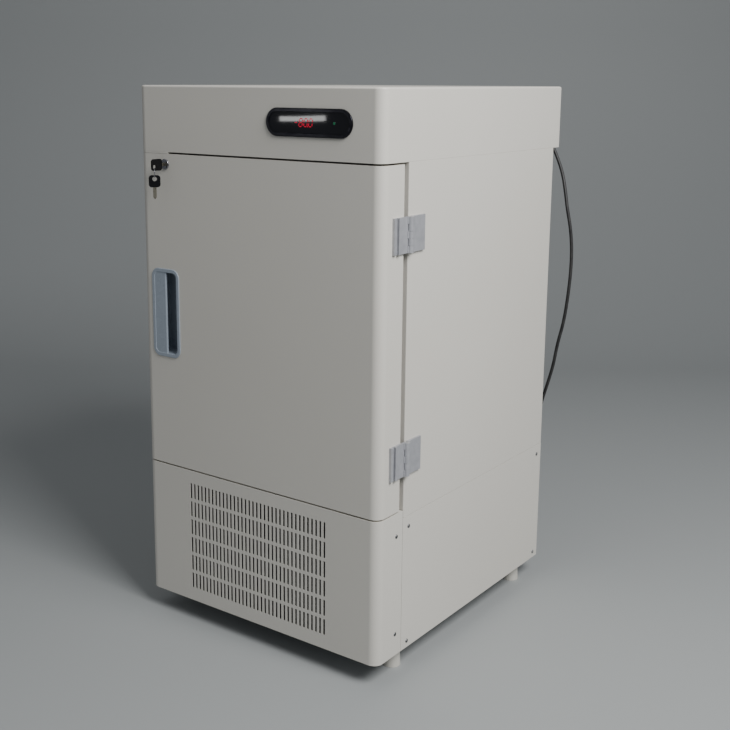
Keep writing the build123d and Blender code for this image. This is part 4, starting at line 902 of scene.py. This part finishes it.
def lit(name, colour, strength):
    """A lit shape: a lamp behind coloured plastic, a little uneven across its face."""
    material = finish(name, colour, 0.3)
    tint(material, grain(material, 500, 2), tuple(c * 0.8 for c in colour), colour)
    shader = material.node_tree.nodes["Principled BSDF"]
    shader.inputs["Emission Color"].default_value = (*colour, 1)
    shader.inputs["Emission Strength"].default_value = strength
    return material


red_light = lit("red_light", (0.55, 0.004, 0.03), 0.6)
coat([figures_piece], red_light)
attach(figures_piece, "cabinet")
lamp_reach = 0.058
lamp_radius = 0.0025
lamp_flatness = 0.25
lamp_mesh = bpy.data.meshes.new("run_lamp")
lamp_solid = bmesh.new()
lamp_place = Matrix.Translation((lens_middle.x + lamp_reach, lens_low.y, lens_middle.z))
bmesh.ops.create_uvsphere(
    lamp_solid,
    u_segments=24,
    v_segments=12,
    radius=lamp_radius,
    matrix=lamp_place @ Matrix.Diagonal((1, lamp_flatness, 1, 1)),
)
lamp_solid.to_mesh(lamp_mesh)
lamp_solid.free()
lamp_piece = in_scene("run_lamp", lamp_mesh)
for face in lamp_mesh.polygons:
    face.use_smooth = True
coat([lamp_piece], lit("green_light", (0.01, 0.13, 0.06), 0.22))
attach(lamp_piece, "cabinet")

# Floor and light: a pale floor that sweeps up into a wall behind, a soft window high on the right.
# A dim ceiling and a weak fill keep the front readable, and the display's lens mirrors a thin strip.
# The floor is square to the camera. None of it belongs to the freezer.
sweep_width = 14
floor_reach = 7
wall_distance = 3.4
wall_height = 5
bend_radius = 1.4
bend_steps = 24
sweep_profile = [(-floor_reach, 0), (wall_distance - bend_radius, 0)]
for step in range(1, bend_steps + 1):
    angle = math.pi / 2 * step / bend_steps
    sweep_profile.append(
        (
            wall_distance - bend_radius + bend_radius * math.sin(angle),
            bend_radius - bend_radius * math.cos(angle),
        )
    )
sweep_profile.append((wall_distance, wall_height))
sweep_points, sweep_faces = [], []
for back, height in sweep_profile:
    for side in (-sweep_width / 2, sweep_width / 2):
        sweep_points.append(
            (
                side * math.cos(camera_turn) - back * math.sin(camera_turn),
                side * math.sin(camera_turn) + back * math.cos(camera_turn),
                height,
            )
        )
for step in range(len(sweep_profile) - 1):
    sweep_faces.append((2 * step, 2 * step + 1, 2 * step + 3, 2 * step + 2))
sweep_mesh = bpy.data.meshes.new("studio_sweep")
sweep_mesh.from_pydata(sweep_points, [], sweep_faces)
for face in sweep_mesh.polygons:
    face.use_smooth = True
sweep = in_scene("studio_sweep", sweep_mesh)
sweep_grey = finish("sweep_grey", (0.36, 0.375, 0.375), 0.6)
sweep_mesh.materials.append(sweep_grey)


def soft_lamp(name, place, target, size, watts):
    """A rectangular soft lamp that points at a target."""
    lamp_data = bpy.data.lights.new(name, "AREA")
    lamp_data.shape = "RECTANGLE"
    lamp_data.size, lamp_data.size_y = size
    lamp_data.energy = watts
    lamp = in_scene(name, lamp_data)
    lamp.location = place
    lamp.rotation_euler = (Vector(target) - Vector(place)).to_track_quat("-Z", "Y").to_euler()


soft_lamp("window", (2.2, -0.7, 2.6), (0.2, 0, 0.85), (1.4, 1.4), 110)
soft_lamp("ceiling", (-0.6, -1.2, 3.6), (0, 0, 0.6), (3.0, 3.0), 12)
to_lens = lens_middle - Vector(camera_place)
strip_share = 1.3
mirrored = lens_middle + strip_share * Vector((to_lens.x, -to_lens.y, to_lens.z))
strip_offset = Vector((-0.03, 0, 0.022))
soft_lamp("strip", mirrored + strip_offset, lens_middle, (0.19, 0.022), 0.12)
room = bpy.data.worlds.new("room")
bpy.context.scene.world = room
room.use_nodes = True
room.node_tree.nodes["Background"].inputs["Color"].default_value = (0.90, 0.94, 1.0, 1)
room.node_tree.nodes["Background"].inputs["Strength"].default_value = 0.2
